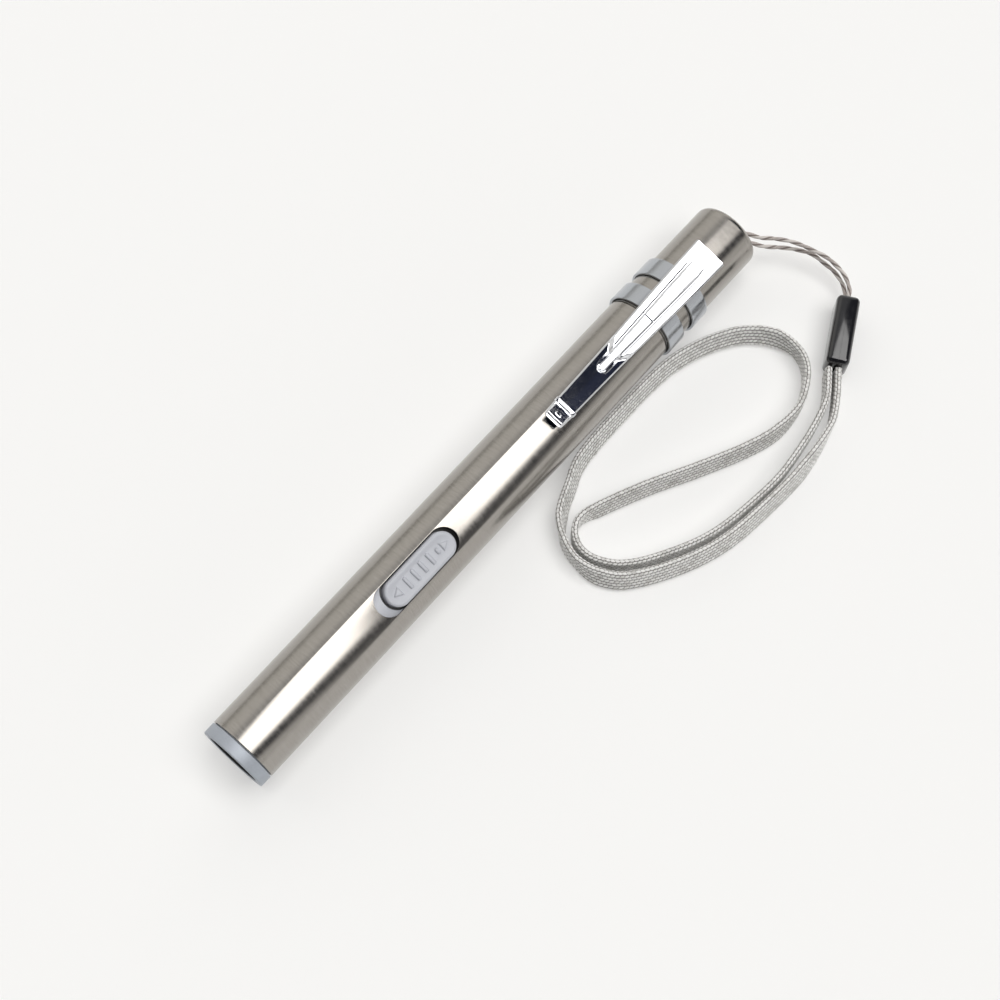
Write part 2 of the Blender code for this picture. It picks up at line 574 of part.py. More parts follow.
def build_wires(body):
    """Charging leads that run beside the cell, from the plug's board to the main board."""
    run = (CELL_DIAMETER / 2 + INNER_RADIUS) / 2
    for name, side, finish in (("wire_positive", 1, RED_WIRE), ("wire_negative", -1, BLACK_WIRE)):
        angle = math.radians(WIRE_ANGLE)
        y, z = side * run * math.cos(angle), run * math.sin(angle)
        start = BOARD_END + 3 * GAP
        route = [(start, side * WIRE_START_SIDE, BOARD_TOP), (start + WIRE_SPREAD, y, z),
                 (start + 2 * WIRE_SPREAD, y, z), ((start + CELL_END) / 2, y, z),
                 (COLLAR_START - 3 * GAP, y, z)]
        cord(name, [tuple(v / MM for v in place) for place in route], WIRE_STEP, WIRE_DIAMETER, finish,
             parent=body)


def build_usb_plug(body):
    """The collar closes the tube; its neck carries the tail cap and the plug stands in it."""
    collar = turned("rear_collar", [
        (COLLAR_START, 0.0), (COLLAR_START, INNER_RADIUS), (NECK_END, INNER_RADIUS),
        (NECK_END, 0.0),
    ], WHITE_PLASTIC, body, closed=False)
    pocket = block("plug_pocket", (NECK_LENGTH * 2, USB_WIDTH + 2 * FIT, USB_THICKNESS + 2 * FIT),
                   (USB_START - FIT + NECK_LENGTH, 0.0, 0.0), parent=body, group=CUTTERS)
    boolean(collar, as_cutter(pocket))
    shell = block("usb_shell", (USB_END - USB_START, USB_WIDTH, USB_THICKNESS),
                  ((USB_START + USB_END) / 2, 0.0, 0.0), SATIN, body)
    hollow = block("usb_hollow", (USB_END - USB_START, USB_WIDTH - 2 * USB_SHEET, USB_THICKNESS - 2 * USB_SHEET),
                   ((USB_START + USB_END) / 2 + USB_FLOOR, 0.0, 0.0), parent=body, group=CUTTERS)
    boolean(shell, as_cutter(hollow))
    tongue_top = USB_THICKNESS / 2 - USB_SHEET - FIT
    tongue_start = USB_START + USB_FLOOR + FIT
    tongue_end = USB_END - TONGUE_INSET
    block("usb_tongue", (tongue_end - tongue_start, USB_WIDTH - 2 * USB_SHEET - 2 * FIT, TONGUE_THICKNESS),
          ((tongue_start + tongue_end) / 2, 0.0, tongue_top - TONGUE_THICKNESS / 2), WHITE_PLASTIC, body)
    contact_x = tongue_end - CONTACT_INSET - CONTACT_SIZE[0] / 2
    contact_z = tongue_top - TONGUE_THICKNESS - FIT - CONTACT_SIZE[2] / 2
    for i in range(4):
        block(f"usb_contact_{i + 1}", CONTACT_SIZE, (contact_x, (i - 1.5) * CONTACT_PITCH, contact_z),
              GOLD, body)


def build_tail_cap(cap):
    inner_end = PEN_LENGTH - CAP_END_WALL
    edge = arc((PEN_LENGTH - CAP_EDGE_RADIUS, TUBE_RADIUS - CAP_EDGE_RADIUS), CAP_EDGE_RADIUS, 90, 0, 6)
    outline = [(CAP_START, BORE_RADIUS), (CAP_START, TUBE_RADIUS)] + edge
    outline += [(PEN_LENGTH, CORD_HOLE / 2), (inner_end, CORD_HOLE / 2), (inner_end, BORE_RADIUS)]
    turned("cap_shell", outline, STEEL, cap)
    ring("cap_insert", USB_END + PLUG_CLEARANCE, inner_end - GAP, KNOT_DIAMETER / 2 + GAP, BORE_RADIUS - FIT,
         BLACK, cap, sides=MIDDLE_ROUND)
    knot_x = inner_end - GAP - KNOT_DIAMETER / 2
    knot = [(knot_x + KNOT_DIAMETER / 2 * math.cos(a), KNOT_DIAMETER / 2 * math.sin(a))
            for a in [math.pi * i / 10 for i in range(11)]]
    knot[0], knot[-1] = (knot[0][0], 0.0), (knot[-1][0], 0.0)
    turned("cord_knot", knot, CORD_GREY, cap, sides=20, closed=False)


def build_clip_frame(clip):
    """One stamping: a spine on the cap and two pairs of arms wrapped round it."""
    columns = [BAND_STARTS[0], BAND_STARTS[0] + BAND_WIDTH, BAND_STARTS[1], BAND_STARTS[1] + BAND_WIDTH,
               CLIP_END - 0.2 * MM]
    arm_steps = 16
    angles = [-BAND_WRAP + (BAND_WRAP - SPINE_HALF_ANGLE) * i / arm_steps for i in range(arm_steps + 1)]
    angles += [0.0] + [-a for a in reversed(angles)]
    angles = sorted(set(angles + [SPINE_HALF_ANGLE * s / 2 for s in (-1, 1)]))
    shape = bmesh.new()
    bmesh.ops.create_grid(shape, x_segments=len(columns) - 1, y_segments=len(angles) - 1, size=0.5)
    for vert in shape.verts:
        column = round((vert.co.x + 0.5) * (len(columns) - 1))
        row = round((vert.co.y + 0.5) * (len(angles) - 1))
        turn = math.radians(angles[row])
        vert.co = (columns[column], -BAND_INNER * math.sin(turn), BAND_INNER * math.cos(turn))
    spare = []
    for face in shape.faces:
        middle = face.calc_center_median()
        turn = abs(math.degrees(math.atan2(middle.y, middle.z)))
        in_band = any(s < middle.x < s + BAND_WIDTH for s in BAND_STARTS)
        if turn > SPINE_HALF_ANGLE and not in_band:
            spare.append(face)
    bmesh.ops.delete(shape, geom=spare, context="FACES")
    bmesh.ops.reverse_faces(shape, faces=shape.faces)
    data = bpy.data.meshes.new("clip_frame")
    shape.to_mesh(data)
    shape.free()
    frame = add_part("clip_frame", data, SATIN, clip, smooth=False)
    wall = frame.modifiers.new("sheet", "SOLIDIFY")
    wall.thickness = BAND_THICKNESS
    wall.offset = 1.0
    wall.use_even_offset = True
    return frame


def nib_outline(grow=0.0):
    """The arm seen from above: a narrow straight tip that widens to the tail end."""
    start, end = CLIP_START, CLIP_END
    waist = CLIP_START + CLIP_WAIST
    half = [(start, CLIP_TIP_WIDTH / 2 - 0.6 * MM), (start + 0.6 * MM, CLIP_TIP_WIDTH / 2),
            (waist, CLIP_WAIST_WIDTH / 2)]
    steps = 10
    for i in range(1, steps + 1):
        t = i / steps
        rise = (CLIP_TAIL_WIDTH - CLIP_WAIST_WIDTH) / 2 * math.sin(t * math.pi / 2)
        half.append((waist + (end - waist) * t, CLIP_WAIST_WIDTH / 2 + rise))
    return half + [(x, -y) for x, y in reversed(half)]


def build_clip_arm(arm, hinge_x, hinge_z):
    """The springy arm; its frame sits on the bend at the tail end, where it flexes."""
    shift = Matrix.Translation((-hinge_x, 0.0, -hinge_z))
    made = plate("clip_arm", nib_outline(), ARM_UNDERSIDE, ARM_TOP, CHROME, arm)
    made.data.transform(shift)
    half = CLIP_RIB_WIDTH / 2
    rib_half = [(CLIP_RIB_START, 0.2 * half), (CLIP_RIB_START + 0.3 * half, 0.5 * half),
                (CLIP_RIB_END - 0.8 * half, half), (CLIP_RIB_END, 0.7 * half)]
    rib = plate("clip_rib", rib_half + [(x, -y) for x, y in reversed(rib_half)],
                ARM_TOP - CLIP_RIB_HEIGHT, ARM_TOP + CLIP_RIB_HEIGHT, parent=arm, group=CUTTERS)
    rib.data.transform(shift)
    boolean(made, as_cutter(rib), "UNION")
    foot_bottom = TUBE_RADIUS + GAP
    foot_height = ARM_UNDERSIDE + CLIP_THICKNESS / 2 - foot_bottom
    foot = block("clip_foot", (2 * FOOT_RADIUS, FOOT_LENGTH, foot_height),
                 (CLIP_START + FOOT_RADIUS + 0.2 * MM, 0.0, foot_bottom + foot_height / 2),
                 parent=arm, group=CUTTERS, edge=0.3 * MM)
    foot.data.transform(shift)
    boolean(made, as_cutter(foot), "UNION")
    block_bottom = BAND_OUTER + GAP
    block_height = ARM_UNDERSIDE + CLIP_THICKNESS / 2 - block_bottom
    tail = block("clip_bend", (CLIP_BLOCK, CLIP_TAIL_WIDTH - 2.0 * MM, block_height),
                 (CLIP_END - 0.1 * MM - CLIP_BLOCK / 2, 0.0, block_bottom + block_height / 2),
                 parent=arm, group=CUTTERS)
    tail.data.transform(shift)
    boolean(made, as_cutter(tail), "UNION")


def strap_height(lean):
    """Height in mm of the strap's middle where it stands on its edge with this lean."""
    reach = (STRAP_WIDTH - STRAP_THICKNESS) / 2 * math.cos(math.radians(lean))
    return (reach + STRAP_THICKNESS / 2 + STRAP_FLOOR_GAP) / MM


def build_lanyard():
    cord("lanyard_cord_a", CORD_A_ROUTE, CORD_STEP, CORD_DIAMETER, CORD_GREY)
    cord("lanyard_cord_b", CORD_B_ROUTE, CORD_STEP, CORD_DIAMETER, CORD_GREY)
    standing = [(x, y, strap_height(lean), lean) for x, y, lean in STRAP_ROUTE]
    cord("wrist_strap", standing, STRAP_STEP, STRAP_THICKNESS, STRAP_GREY, width=STRAP_WIDTH)
    turn = math.radians(FERRULE_TURN)
    along = Vector((math.cos(turn), math.sin(turn), 0.0))
    middle = Vector((*FERRULE_FOOT, FERRULE_HEIGHT / 2 + 0.1 * MM)) + along * FERRULE_LENGTH / 2
    ferrule = block("ferrule", (FERRULE_LENGTH, FERRULE_THICKNESS, FERRULE_HEIGHT), (0.0, 0.0, 0.0),
                    GLOSS_BLACK, edge=0.8 * MM)
    ferrule.location = middle
    ferrule.rotation_euler = (0.0, 0.0, turn)


def build_penlight():
    start_x = -PEN_LENGTH / 2
    body = frame_empty("body_frame", BUTTON_TURN, x=start_x, z=AXIS_HEIGHT)
    slider = frame_empty("slider_frame", parent=body)
    cap = frame_empty("cap_frame", CLIP_TURN, x=start_x, z=AXIS_HEIGHT)
    hinge_x = CLIP_END - 0.6 * MM
    hinge_z = BAND_OUTER + GAP + CLIP_LIFT / 2
    arm = frame_empty("arm_frame", parent=cap, x=hinge_x, z=hinge_z)
    build_light_end(body)
    build_body_tube(body)
    build_carrier_and_board(body)
    build_switch(body, slider)
    build_slide_button(slider)
    build_cell(body)
    build_wires(body)
    build_usb_plug(body)
    build_tail_cap(cap)
    build_clip_frame(cap)
    build_clip_arm(arm, hinge_x, hinge_z)
    build_lanyard()


build_penlight()
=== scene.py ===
# %% [markdown]
# # A steel penlight with a wrist strap
#
# This lesson dresses a slim rechargeable penlight: a brushed steel tube with a light at one
# end, a thumb switch in a slot, a chrome pocket clip held by two bands on the tail cap, and a
# braided strap that hangs on two thin cords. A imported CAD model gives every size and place.
# Each visible piece is then modelled again with finer edges and its own finish.

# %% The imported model
import json
import math
import random

import bmesh
import bpy
from mathutils import Vector
from mathutils.geometry import interpolate_bezier
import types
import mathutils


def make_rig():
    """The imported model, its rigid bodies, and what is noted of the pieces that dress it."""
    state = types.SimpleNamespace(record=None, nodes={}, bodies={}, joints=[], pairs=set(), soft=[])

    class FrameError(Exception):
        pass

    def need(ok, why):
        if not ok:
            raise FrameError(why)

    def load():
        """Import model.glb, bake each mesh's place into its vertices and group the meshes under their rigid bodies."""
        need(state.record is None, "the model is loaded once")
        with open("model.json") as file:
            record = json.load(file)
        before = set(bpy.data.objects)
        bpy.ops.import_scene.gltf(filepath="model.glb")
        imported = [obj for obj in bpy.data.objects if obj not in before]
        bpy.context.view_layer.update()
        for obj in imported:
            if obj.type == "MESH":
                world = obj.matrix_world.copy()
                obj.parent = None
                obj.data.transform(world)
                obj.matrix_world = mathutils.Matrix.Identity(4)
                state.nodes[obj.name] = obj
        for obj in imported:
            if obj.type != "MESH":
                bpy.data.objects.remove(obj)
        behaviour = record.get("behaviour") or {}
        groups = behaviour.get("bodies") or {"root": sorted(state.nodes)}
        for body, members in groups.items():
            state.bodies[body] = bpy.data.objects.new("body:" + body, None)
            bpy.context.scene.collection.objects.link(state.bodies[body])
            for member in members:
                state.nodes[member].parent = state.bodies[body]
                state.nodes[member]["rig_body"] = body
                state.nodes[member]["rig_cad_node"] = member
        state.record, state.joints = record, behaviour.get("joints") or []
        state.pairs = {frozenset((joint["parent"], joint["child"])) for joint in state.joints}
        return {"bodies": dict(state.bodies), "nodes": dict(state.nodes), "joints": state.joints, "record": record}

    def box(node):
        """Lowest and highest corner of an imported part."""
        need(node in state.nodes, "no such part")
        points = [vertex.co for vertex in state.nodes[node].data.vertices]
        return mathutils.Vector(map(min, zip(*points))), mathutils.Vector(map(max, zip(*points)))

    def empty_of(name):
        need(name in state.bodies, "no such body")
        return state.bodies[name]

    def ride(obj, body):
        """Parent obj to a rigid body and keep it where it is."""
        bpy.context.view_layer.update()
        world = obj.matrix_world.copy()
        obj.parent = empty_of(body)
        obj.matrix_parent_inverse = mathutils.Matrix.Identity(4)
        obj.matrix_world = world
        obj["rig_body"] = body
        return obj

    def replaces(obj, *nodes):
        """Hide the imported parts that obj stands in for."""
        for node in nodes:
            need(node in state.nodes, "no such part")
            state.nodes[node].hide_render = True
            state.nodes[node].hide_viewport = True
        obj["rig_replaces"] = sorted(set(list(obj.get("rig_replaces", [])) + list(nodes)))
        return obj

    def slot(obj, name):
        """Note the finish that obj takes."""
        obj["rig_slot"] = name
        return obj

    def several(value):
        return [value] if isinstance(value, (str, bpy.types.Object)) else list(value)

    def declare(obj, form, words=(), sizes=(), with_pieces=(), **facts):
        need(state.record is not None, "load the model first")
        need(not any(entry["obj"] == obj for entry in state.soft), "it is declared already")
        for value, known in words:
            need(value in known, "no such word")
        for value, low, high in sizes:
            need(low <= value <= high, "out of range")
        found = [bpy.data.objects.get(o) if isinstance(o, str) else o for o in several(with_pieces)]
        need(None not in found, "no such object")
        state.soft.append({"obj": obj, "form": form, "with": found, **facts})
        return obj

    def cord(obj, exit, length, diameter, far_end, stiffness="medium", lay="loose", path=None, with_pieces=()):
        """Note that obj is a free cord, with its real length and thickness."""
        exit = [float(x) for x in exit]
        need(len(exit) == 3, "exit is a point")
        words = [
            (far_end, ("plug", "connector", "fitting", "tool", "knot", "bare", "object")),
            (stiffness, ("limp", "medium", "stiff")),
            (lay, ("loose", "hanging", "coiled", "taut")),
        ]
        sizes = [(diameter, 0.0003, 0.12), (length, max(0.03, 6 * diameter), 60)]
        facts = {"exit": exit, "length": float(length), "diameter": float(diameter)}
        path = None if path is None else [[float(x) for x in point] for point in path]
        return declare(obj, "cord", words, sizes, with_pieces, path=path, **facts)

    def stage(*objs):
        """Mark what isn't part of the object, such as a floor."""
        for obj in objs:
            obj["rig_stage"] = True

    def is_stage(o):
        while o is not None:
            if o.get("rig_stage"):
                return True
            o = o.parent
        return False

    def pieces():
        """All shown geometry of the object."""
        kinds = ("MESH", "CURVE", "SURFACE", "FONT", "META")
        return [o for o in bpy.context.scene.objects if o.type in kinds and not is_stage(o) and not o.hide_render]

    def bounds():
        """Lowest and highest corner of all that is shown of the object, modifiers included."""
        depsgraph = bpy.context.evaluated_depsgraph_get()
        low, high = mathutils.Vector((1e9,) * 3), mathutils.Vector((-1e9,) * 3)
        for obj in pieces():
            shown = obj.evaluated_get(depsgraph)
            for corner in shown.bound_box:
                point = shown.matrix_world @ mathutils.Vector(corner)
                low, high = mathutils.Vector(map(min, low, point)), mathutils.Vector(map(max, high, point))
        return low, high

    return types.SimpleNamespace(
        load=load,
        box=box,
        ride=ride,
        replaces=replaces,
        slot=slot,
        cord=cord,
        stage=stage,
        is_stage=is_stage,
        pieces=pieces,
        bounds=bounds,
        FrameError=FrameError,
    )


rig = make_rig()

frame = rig.load()
cad_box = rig.bounds()
bpy.ops.object.select_all(action="DESELECT")
print("bodies:", list(frame["bodies"]), "and", len(frame["nodes"]), "nodes")

# %% [markdown]
# Everything in the pen lies on one axis, so it is easiest to draw each piece along that axis,
# with x counted from the light end and z = 0 on the axis. `settle`, further down, carries the
# finished piece to its real place. The few driving sizes come from the CAD nodes' boxes.

# %% Sizes that the frame gives
MM = 0.001


def span(node, axis=0):
    """How far a CAD node reaches along one axis, in pen coordinates for x."""
    low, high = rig.box(node)
    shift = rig.box("front_bezel")[0][0] if axis == 0 else 0.0
    return low[axis] - shift, high[axis] - shift


PEN_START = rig.box("front_bezel")[0][0]
CAP_LOW, CAP_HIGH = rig.box("cap_shell")
AXIS_HEIGHT = (CAP_LOW[2] + CAP_HIGH[2]) / 2
TUBE_RADIUS = (CAP_HIGH[2] - CAP_LOW[2]) / 2
CAP_START, PEN_LENGTH = span("cap_shell")
TUBE_START, TUBE_END = span("body_tube")
RING_END = TUBE_START - 0.2 * MM
TUBE_WALL = 0.5 * MM
BUTTON_TURN = 23.0      # degrees round the pen, towards the strap's side
CLIP_TURN = 15.3
print(f"pen {PEN_LENGTH / MM:.1f} mm long, {2 * TUBE_RADIUS / MM:.1f} mm across, "
      f"cap from {CAP_START / MM:.1f}")

# %% [markdown]
# ## The camera and the light
#
# The camera looks down steeply on the pen, which lies across the picture. A long polished tube
# is drawn by what it mirrors: one broad soft box overhead gives the white band along the top,
# and the dark room beside it gives the black line next to that band. Real lamps would do, but a
# world shader that paints the soft box by direction puts each edge exactly where it is wanted.

# %% Camera
CAMERA_PLACE = (-0.08421, -0.07533, 0.30552)
CAMERA_AZIMUTH = -48.74
CAMERA_ELEVATION = 69.86
camera_data = bpy.data.cameras.new("camera")
camera_data.lens = 61.2
camera_data.sensor_width = 36.0
camera_data.clip_start = 0.01
camera = bpy.data.objects.new("camera", camera_data)
bpy.context.scene.collection.objects.link(camera)
camera.location = CAMERA_PLACE
camera.rotation_euler = (math.radians(90 - CAMERA_ELEVATION), 0.0, math.radians(CAMERA_AZIMUTH))
bpy.context.scene.camera = camera
bpy.context.scene.view_settings.view_transform = "Standard"
print("camera at", CAMERA_PLACE)


# %% A short way to add shader nodes
def node(tree, kind, inputs=None, **settings):
    """Adds a shader node; inputs are numbers, colours or other nodes' sockets."""
    made = tree.nodes.new("ShaderNode" + kind)
    for key, value in settings.items():
        setattr(made, key, value)
    for key, value in (inputs or {}).items():
        if isinstance(value, bpy.types.NodeSocket):
            tree.links.new(value, made.inputs[key])
        else:
            made.inputs[key].default_value = value
    return made


def smooth_step(tree, value, low, high, start=0.0, end=1.0):
    made = node(tree, "MapRange", {0: value, 1: low, 2: high, 3: start, 4: end},
                interpolation_type="SMOOTHSTEP")
    return made.outputs[0]


def times(tree, a, b):
    return node(tree, "Math", {0: a, 1: b}, operation="MULTIPLY").outputs[0]


def within(tree, value, low, high, soft):
    """1 where a value lies between low and high, with soft edges."""
    rising = smooth_step(tree, value, low - soft, low + soft)
    falling = smooth_step(tree, value, high - soft, high + soft, 1.0, 0.0)
    return times(tree, rising, falling)


def ramp(tree, value, stops):
    """A colour ramp with stops of (position, colour)."""
    made = node(tree, "ValToRGB", {0: value})
    band = made.color_ramp
    for place, _ in stops[2:]:
        band.elements.new(place)
    for element, (place, colour) in zip(band.elements, sorted(stops)):
        element.position = place
        element.color = (*colour, 1.0)
    return made.outputs[0]


# %% The studio as a world of soft boxes
SOFT_BOX_ROLL = (-12.0, 39.5)      # degrees round the pen's axis, from overhead
SOFT_BOX_TILT = (-12.0, 28.7)      # degrees along it
SOFT_BOX_POWER = 3.9
world = bpy.data.worlds.new("studio")
bpy.context.scene.world = world
world.use_nodes = True
sky = world.node_tree
sky.nodes.clear()
direction = node(sky, "TexCoord").outputs["Generated"]
parts = node(sky, "SeparateXYZ", {0: direction})
tilt = node(sky, "Math", {0: parts.outputs[0]}, operation="ARCSINE").outputs[0]
left = node(sky, "Math", {0: parts.outputs[1], 1: -1.0}, operation="MULTIPLY").outputs[0]
roll = node(sky, "Math", {0: left, 1: parts.outputs[2]}, operation="ARCTAN2").outputs[0]
soft_box = times(
    sky,
    within(sky, roll, *[math.radians(a) for a in SOFT_BOX_ROLL], math.radians(2.0)),
    within(sky, tilt, *[math.radians(a) for a in SOFT_BOX_TILT], math.radians(0.8)),
)
around = node(sky, "MapRange", {0: roll, 1: -math.pi, 2: math.pi, 3: 0.0, 4: 1.0}).outputs[0]
# What the metal mirrors, by roll in degrees: pale walls, grey up to the soft box, and dark
# behind it and for 20 degrees past it
ROOM = [(-180, (0.45, 0.44, 0.42)), (-100, (0.42, 0.41, 0.38)), (-82, (0.50, 0.49, 0.46)),
        (-70, (0.86, 0.85, 0.81)), (-40, (0.92, 0.90, 0.87)), (-28, (0.54, 0.54, 0.53)),
        (-14, (0.44, 0.44, 0.45)), (-12, (0.012, 0.016, 0.036)), (41, (0.010, 0.012, 0.022)),
        (60, (0.02, 0.021, 0.028)), (71, (0.8, 0.79, 0.77)), (180, (0.8, 0.79, 0.77))]
DARK_END_TILT = (-48.0, -8.0)      # the room is dark beyond the light end
room = ramp(sky, around, [((a + 180) / 360, colour) for a, colour in ROOM])
glow = node(sky, "Background",
            {"Color": (1.0, 0.99, 0.97, 1.0), "Strength": times(sky, soft_box, SOFT_BOX_POWER)})
dimmed = smooth_step(sky, tilt, *[math.radians(a) for a in DARK_END_TILT], 0.12, 1.0)
walls = node(sky, "Background", {"Color": room, "Strength": dimmed})
lit = node(sky, "AddShader", {0: glow.outputs[0], 1: walls.outputs[0]})
plain = node(sky, "Background", {"Color": (1.0, 1.0, 1.0, 1.0), "Strength": 1.0})
to_camera = node(sky, "LightPath").outputs["Is Camera Ray"]
seen = node(sky, "MixShader", {0: to_camera, 1: lit.outputs[0], 2: plain.outputs[0]})
node(sky, "OutputWorld", {0: seen.outputs[0]})
print("soft box over rolls", SOFT_BOX_ROLL, "and tilts", SOFT_BOX_TILT)


# %% [markdown]
# ## Finishes
#
# A finish is a base colour, a roughness and a metal or plastic body, and then the small
# irregularities that make it believable. The helper gives a plain Principled shader, and each
# finish adds its own grain to it.

# %% A helper for finishes
def finish(name, colour, roughness, metallic=0.0, **sockets):
    """A material and its node tree with plain settings on its shader."""
    made = bpy.data.materials.new(name)
    made.use_nodes = True
    shader = made.node_tree.nodes["Principled BSDF"]
    settings = {"Base Color": (*colour, 1.0), "Roughness": roughness, "Metallic": metallic}
    settings.update({key.replace("_", " ").title(): value for key, value in sockets.items()})
    for key, value in settings.items():
        shader.inputs[key.replace("Ior", "IOR")].default_value = value
    made.diffuse_color = (*colour, 1.0)
    return made


def grain(material, scale, strength, distance, stretch=(1.0, 1.0, 1.0), detail=3.0, rough=None, tint=None):
    """Adds a noise bump in object coordinates; rough and tint also vary roughness and colour with it."""
    tree = material.node_tree
    shader = tree.nodes["Principled BSDF"]
    place = node(tree, "TexCoord").outputs["Object"]
    stretched = node(tree, "Mapping", {"Vector": place, "Scale": stretch}).outputs[0]
    noise = node(tree, "TexNoise", {"Vector": stretched, "Scale": scale, "Detail": detail, "Roughness": 0.6})
    height = noise.outputs[0]
    bump = node(tree, "Bump", {"Strength": strength, "Distance": distance, "Height": height})
    tree.links.new(bump.outputs[0], shader.inputs["Normal"])
    if rough:
        tree.links.new(smooth_step(tree, height, 0.3, 0.7, *rough), shader.inputs["Roughness"])
    if tint:
        tree.links.new(ramp(tree, height, [(0.3, tint[0]), (0.7, tint[1])]), shader.inputs["Base Color"])
    return material


# %% [markdown]
# The tube was polished on a belt while it turned, so its scratches run round it. The grain is a
# noise squeezed hard along the pen and drawn out around it, which frays the edges of every
# reflection just as the real scratches do.

# %% Metals
BRUSH = (1.0, 0.06, 0.06)
brushed = grain(finish("brushed_steel", (0.37, 0.35, 0.325), 0.22, 1.0), 6500.0, 0.16, 0.00002, BRUSH, 4.0,
                rough=(0.19, 0.27), tint=((0.335, 0.315, 0.29), (0.405, 0.385, 0.36)))
ring_coat = grain(finish("ring_coat", (0.40, 0.43, 0.475), 0.5, 0.35), 3000.0, 0.12, 0.00002,
                  rough=(0.44, 0.56), tint=((0.38, 0.41, 0.455), (0.42, 0.45, 0.50)))
chrome = grain(finish("clip_chrome", (0.80, 0.81, 0.84), 0.05, 1.0), 4200.0, 0.16, 0.00001,
               rough=(0.03, 0.08))
satin = grain(finish("satin_sheet", (0.46, 0.48, 0.51), 0.18, 1.0), 6000.0, 0.07, 0.00001, (1.0, 0.3, 0.3),
              4.0,
              rough=(0.14, 0.24))
mirror = grain(finish("cup_mirror", (0.88, 0.88, 0.89), 0.07, 1.0), 900.0, 0.03, 0.00002, rough=(0.05, 0.1))
nickel = grain(finish("nickel", (0.62, 0.60, 0.55), 0.3, 1.0), 1800.0, 0.1, 0.00002, rough=(0.25, 0.4))
gold = grain(finish("contact_gold", (0.83, 0.62, 0.24), 0.25, 1.0), 1800.0, 0.08, 0.00002, rough=(0.2, 0.32))

# %% Plastics, rubber and glass
thumb_grey = grain(finish("thumb_grey", (0.49, 0.505, 0.55), 0.36), 5200.0, 0.12, 0.00002, rough=(0.3, 0.44),
                   tint=((0.47, 0.485, 0.53), (0.51, 0.525, 0.57)))
black_plastic = grain(finish("black_plastic", (0.02, 0.02, 0.022), 0.42), 3500.0, 0.2, 0.00003,
                      rough=(0.36, 0.5))
gloss_black = grain(finish("gloss_black", (0.012, 0.012, 0.014), 0.12, coat_weight=0.5), 500.0, 0.03, 0.00004,
                    rough=(0.09, 0.18))
white_plastic = grain(finish("white_plastic", (0.78, 0.78, 0.75), 0.45), 2500.0, 0.1, 0.00002,
                      rough=(0.4, 0.52))
rubber = grain(finish("seal_rubber", (0.025, 0.025, 0.025), 0.75), 4000.0, 0.25, 0.00003, rough=(0.65, 0.85))
board_green = grain(finish("board_green", (0.02, 0.18, 0.07), 0.4, coat_weight=0.3), 700.0, 0.1, 0.00003,
                    tint=((0.015, 0.15, 0.055), (0.025, 0.21, 0.085)))
phosphor = grain(finish("phosphor", (0.85, 0.74, 0.18), 0.35, coat_weight=0.6), 2500.0, 0.1, 0.00002,
                 tint=((0.8, 0.68, 0.14), (0.88, 0.78, 0.24)))
cell_wrap = grain(finish("cell_wrap", (0.06, 0.16, 0.42), 0.3, coat_weight=0.4), 300.0, 0.08, 0.00005,
                  tint=((0.05, 0.14, 0.38), (0.07, 0.18, 0.46)))
red_wire = grain(finish("red_wire", (0.55, 0.03, 0.02), 0.45), 2000.0, 0.1, 0.00002, rough=(0.4, 0.55))
black_wire = grain(finish("black_wire", (0.02, 0.02, 0.02), 0.45), 2000.0, 0.1, 0.00002, rough=(0.4, 0.55))
glass = finish("lens_glass", (0.96, 0.98, 1.0), 0.03, transmission_weight=1.0, ior=1.49)
print("finishes:", len(bpy.data.materials))

# %% The finishes of the pieces that stay as they are
STAYING = {
    "bezel_seal": rubber, "led_board": board_green, "led_holder": black_plastic,
    "inner_carrier": black_plastic,
    "main_board": board_green, "charge_chip": black_plastic, "charge_led": white_plastic,
    "slide_switch": nickel, "switch_knob": black_plastic, "detent_spring": nickel, "battery_cell": cell_wrap,
    "battery_tab_positive": nickel, "battery_tab_negative": nickel, "wire_positive": red_wire,
    "wire_negative": black_wire, "cap_insert": black_plastic,
}
for name, coat in STAYING.items():
    staying = frame["nodes"][name]
    staying.data.materials.clear()
    staying.data.materials.append(coat)
print(len(STAYING), "inner nodes have their finish")
